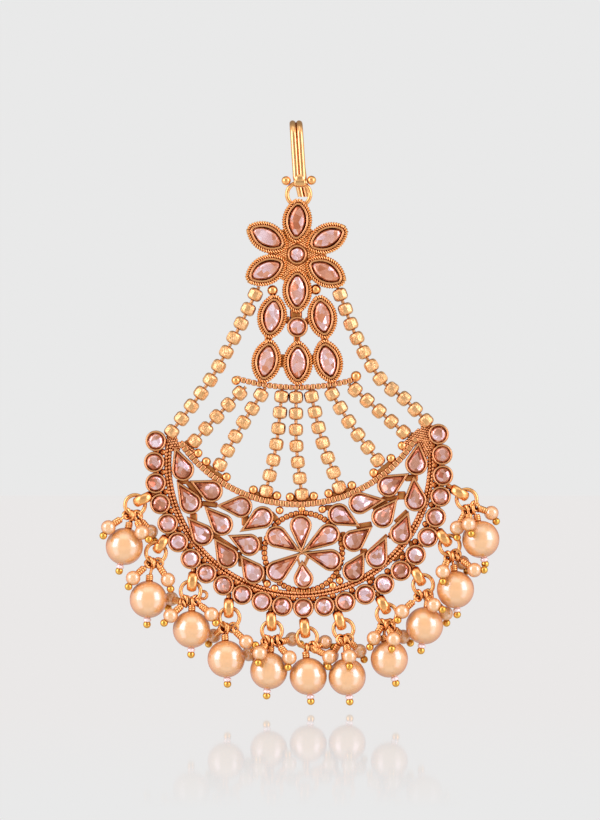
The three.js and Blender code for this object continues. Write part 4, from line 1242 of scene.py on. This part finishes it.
def room():
    """Soft light from all around, and a plain pale backdrop for the camera."""
    world = bpy.context.scene.world or bpy.data.worlds.new("studio")
    bpy.context.scene.world = world
    world.use_nodes = True
    tree = world.node_tree
    tree.nodes.clear()
    place = lay(tree, "ShaderNodeTexCoord")
    axes = lay(tree, "ShaderNodeSeparateXYZ", links={"Vector": place.outputs["Generated"]})
    aside = lay(tree, "ShaderNodeMath", links={0: axes.outputs["X"]}, operation="ABSOLUTE")
    sources = {"X": aside.outputs[0], "Y": axes.outputs["Y"], "Z": axes.outputs["Z"]}
    light = lay(tree, "ShaderNodeValue")
    light.outputs[0].default_value = 1
    for axis, start, end, first, last, shape, joins in ROOM:
        step = lay(tree, "ShaderNodeMapRange", {"From Min": start, "From Max": end,
                                                "To Min": first, "To Max": last},
                   {"Value": sources[axis]}, interpolation_type=shape)
        light = lay(tree, "ShaderNodeMath", links={0: light.outputs[0], 1: step.outputs[0]},
                    operation=joins)
    lit = lay(tree, "ShaderNodeBackground", {"Color": linear("#EFE8E6")},
              {"Strength": light.outputs[0]})
    seen = lay(tree, "ShaderNodeBackground", {"Color": linear(BACKDROP)})
    ray = lay(tree, "ShaderNodeLightPath")
    both = lay(tree, "ShaderNodeMixShader", links={0: ray.outputs["Is Camera Ray"],
                                                   1: lit.outputs[0], 2: seen.outputs[0]})
    lay(tree, "ShaderNodeOutputWorld", links={"Surface": both.outputs[0]})


def softbox(name, place, size, watts, colour):
    """A soft area light that faces the jewel."""
    bpy.ops.object.light_add(type="AREA", location=place)
    light = bpy.context.object
    light.name = name
    light.data.shape = "RECTANGLE"
    light.data.size, light.data.size_y = size
    light.data.energy = watts
    light.data.color = linear(colour)[:3]
    aim = Vector(AIM) - Vector(place)
    light.rotation_euler = aim.to_track_quat("-Z", "Y").to_euler()


def acrylic_floor():
    """A pale floor that mirrors faintly under the jewel and fades out towards the camera."""
    bpy.ops.mesh.primitive_plane_add(size=6, location=(0, 0, FLOOR))
    floor = bpy.context.object
    floor.name = "studio_floor"
    acrylic, tree, shader = blank_finish("pale_acrylic_floor", {})
    tree.nodes.remove(shader)
    place = lay(tree, "ShaderNodeTexCoord")
    axes = lay(tree, "ShaderNodeSeparateXYZ", links={"Vector": place.outputs["Object"]})
    fade = lay(tree, "ShaderNodeMapRange", {"From Min": -0.3, "From Max": -0.01, "To Max": 0.34},
               {"Value": axes.outputs["Y"]})
    pale = lay(tree, "ShaderNodeEmission", {"Color": linear(BACKDROP)})
    mirror = lay(tree, "ShaderNodeBsdfGlossy", {"Color": linear("#FFFFFF"), "Roughness": 0.04})
    mix = lay(tree, "ShaderNodeMixShader", links={0: fade.outputs["Result"], 1: pale.outputs[0],
                                                  2: mirror.outputs[0]})
    tree.links.new(mix.outputs[0], tree.nodes["Material Output"].inputs["Surface"])
    floor.data.materials.append(acrylic)


def camera():
    """A long lens straight in front of the jewel."""
    bpy.ops.object.camera_add(location=(MIDDLE[0] * MM, MIDPLANE - DISTANCE, MIDDLE[1] * MM),
                              rotation=FACING_FRONT)
    lens = bpy.context.object
    lens.data.sensor_fit = "VERTICAL"
    lens.data.sensor_height = SENSOR
    lens.data.lens = SENSOR * DISTANCE / (VIEW_HEIGHT * MM)
    bpy.context.scene.camera = lens
    bpy.context.scene.view_settings.view_transform = "Standard"


room()
for box in SOFTBOXES:
    softbox(*box)
acrylic_floor()
camera()
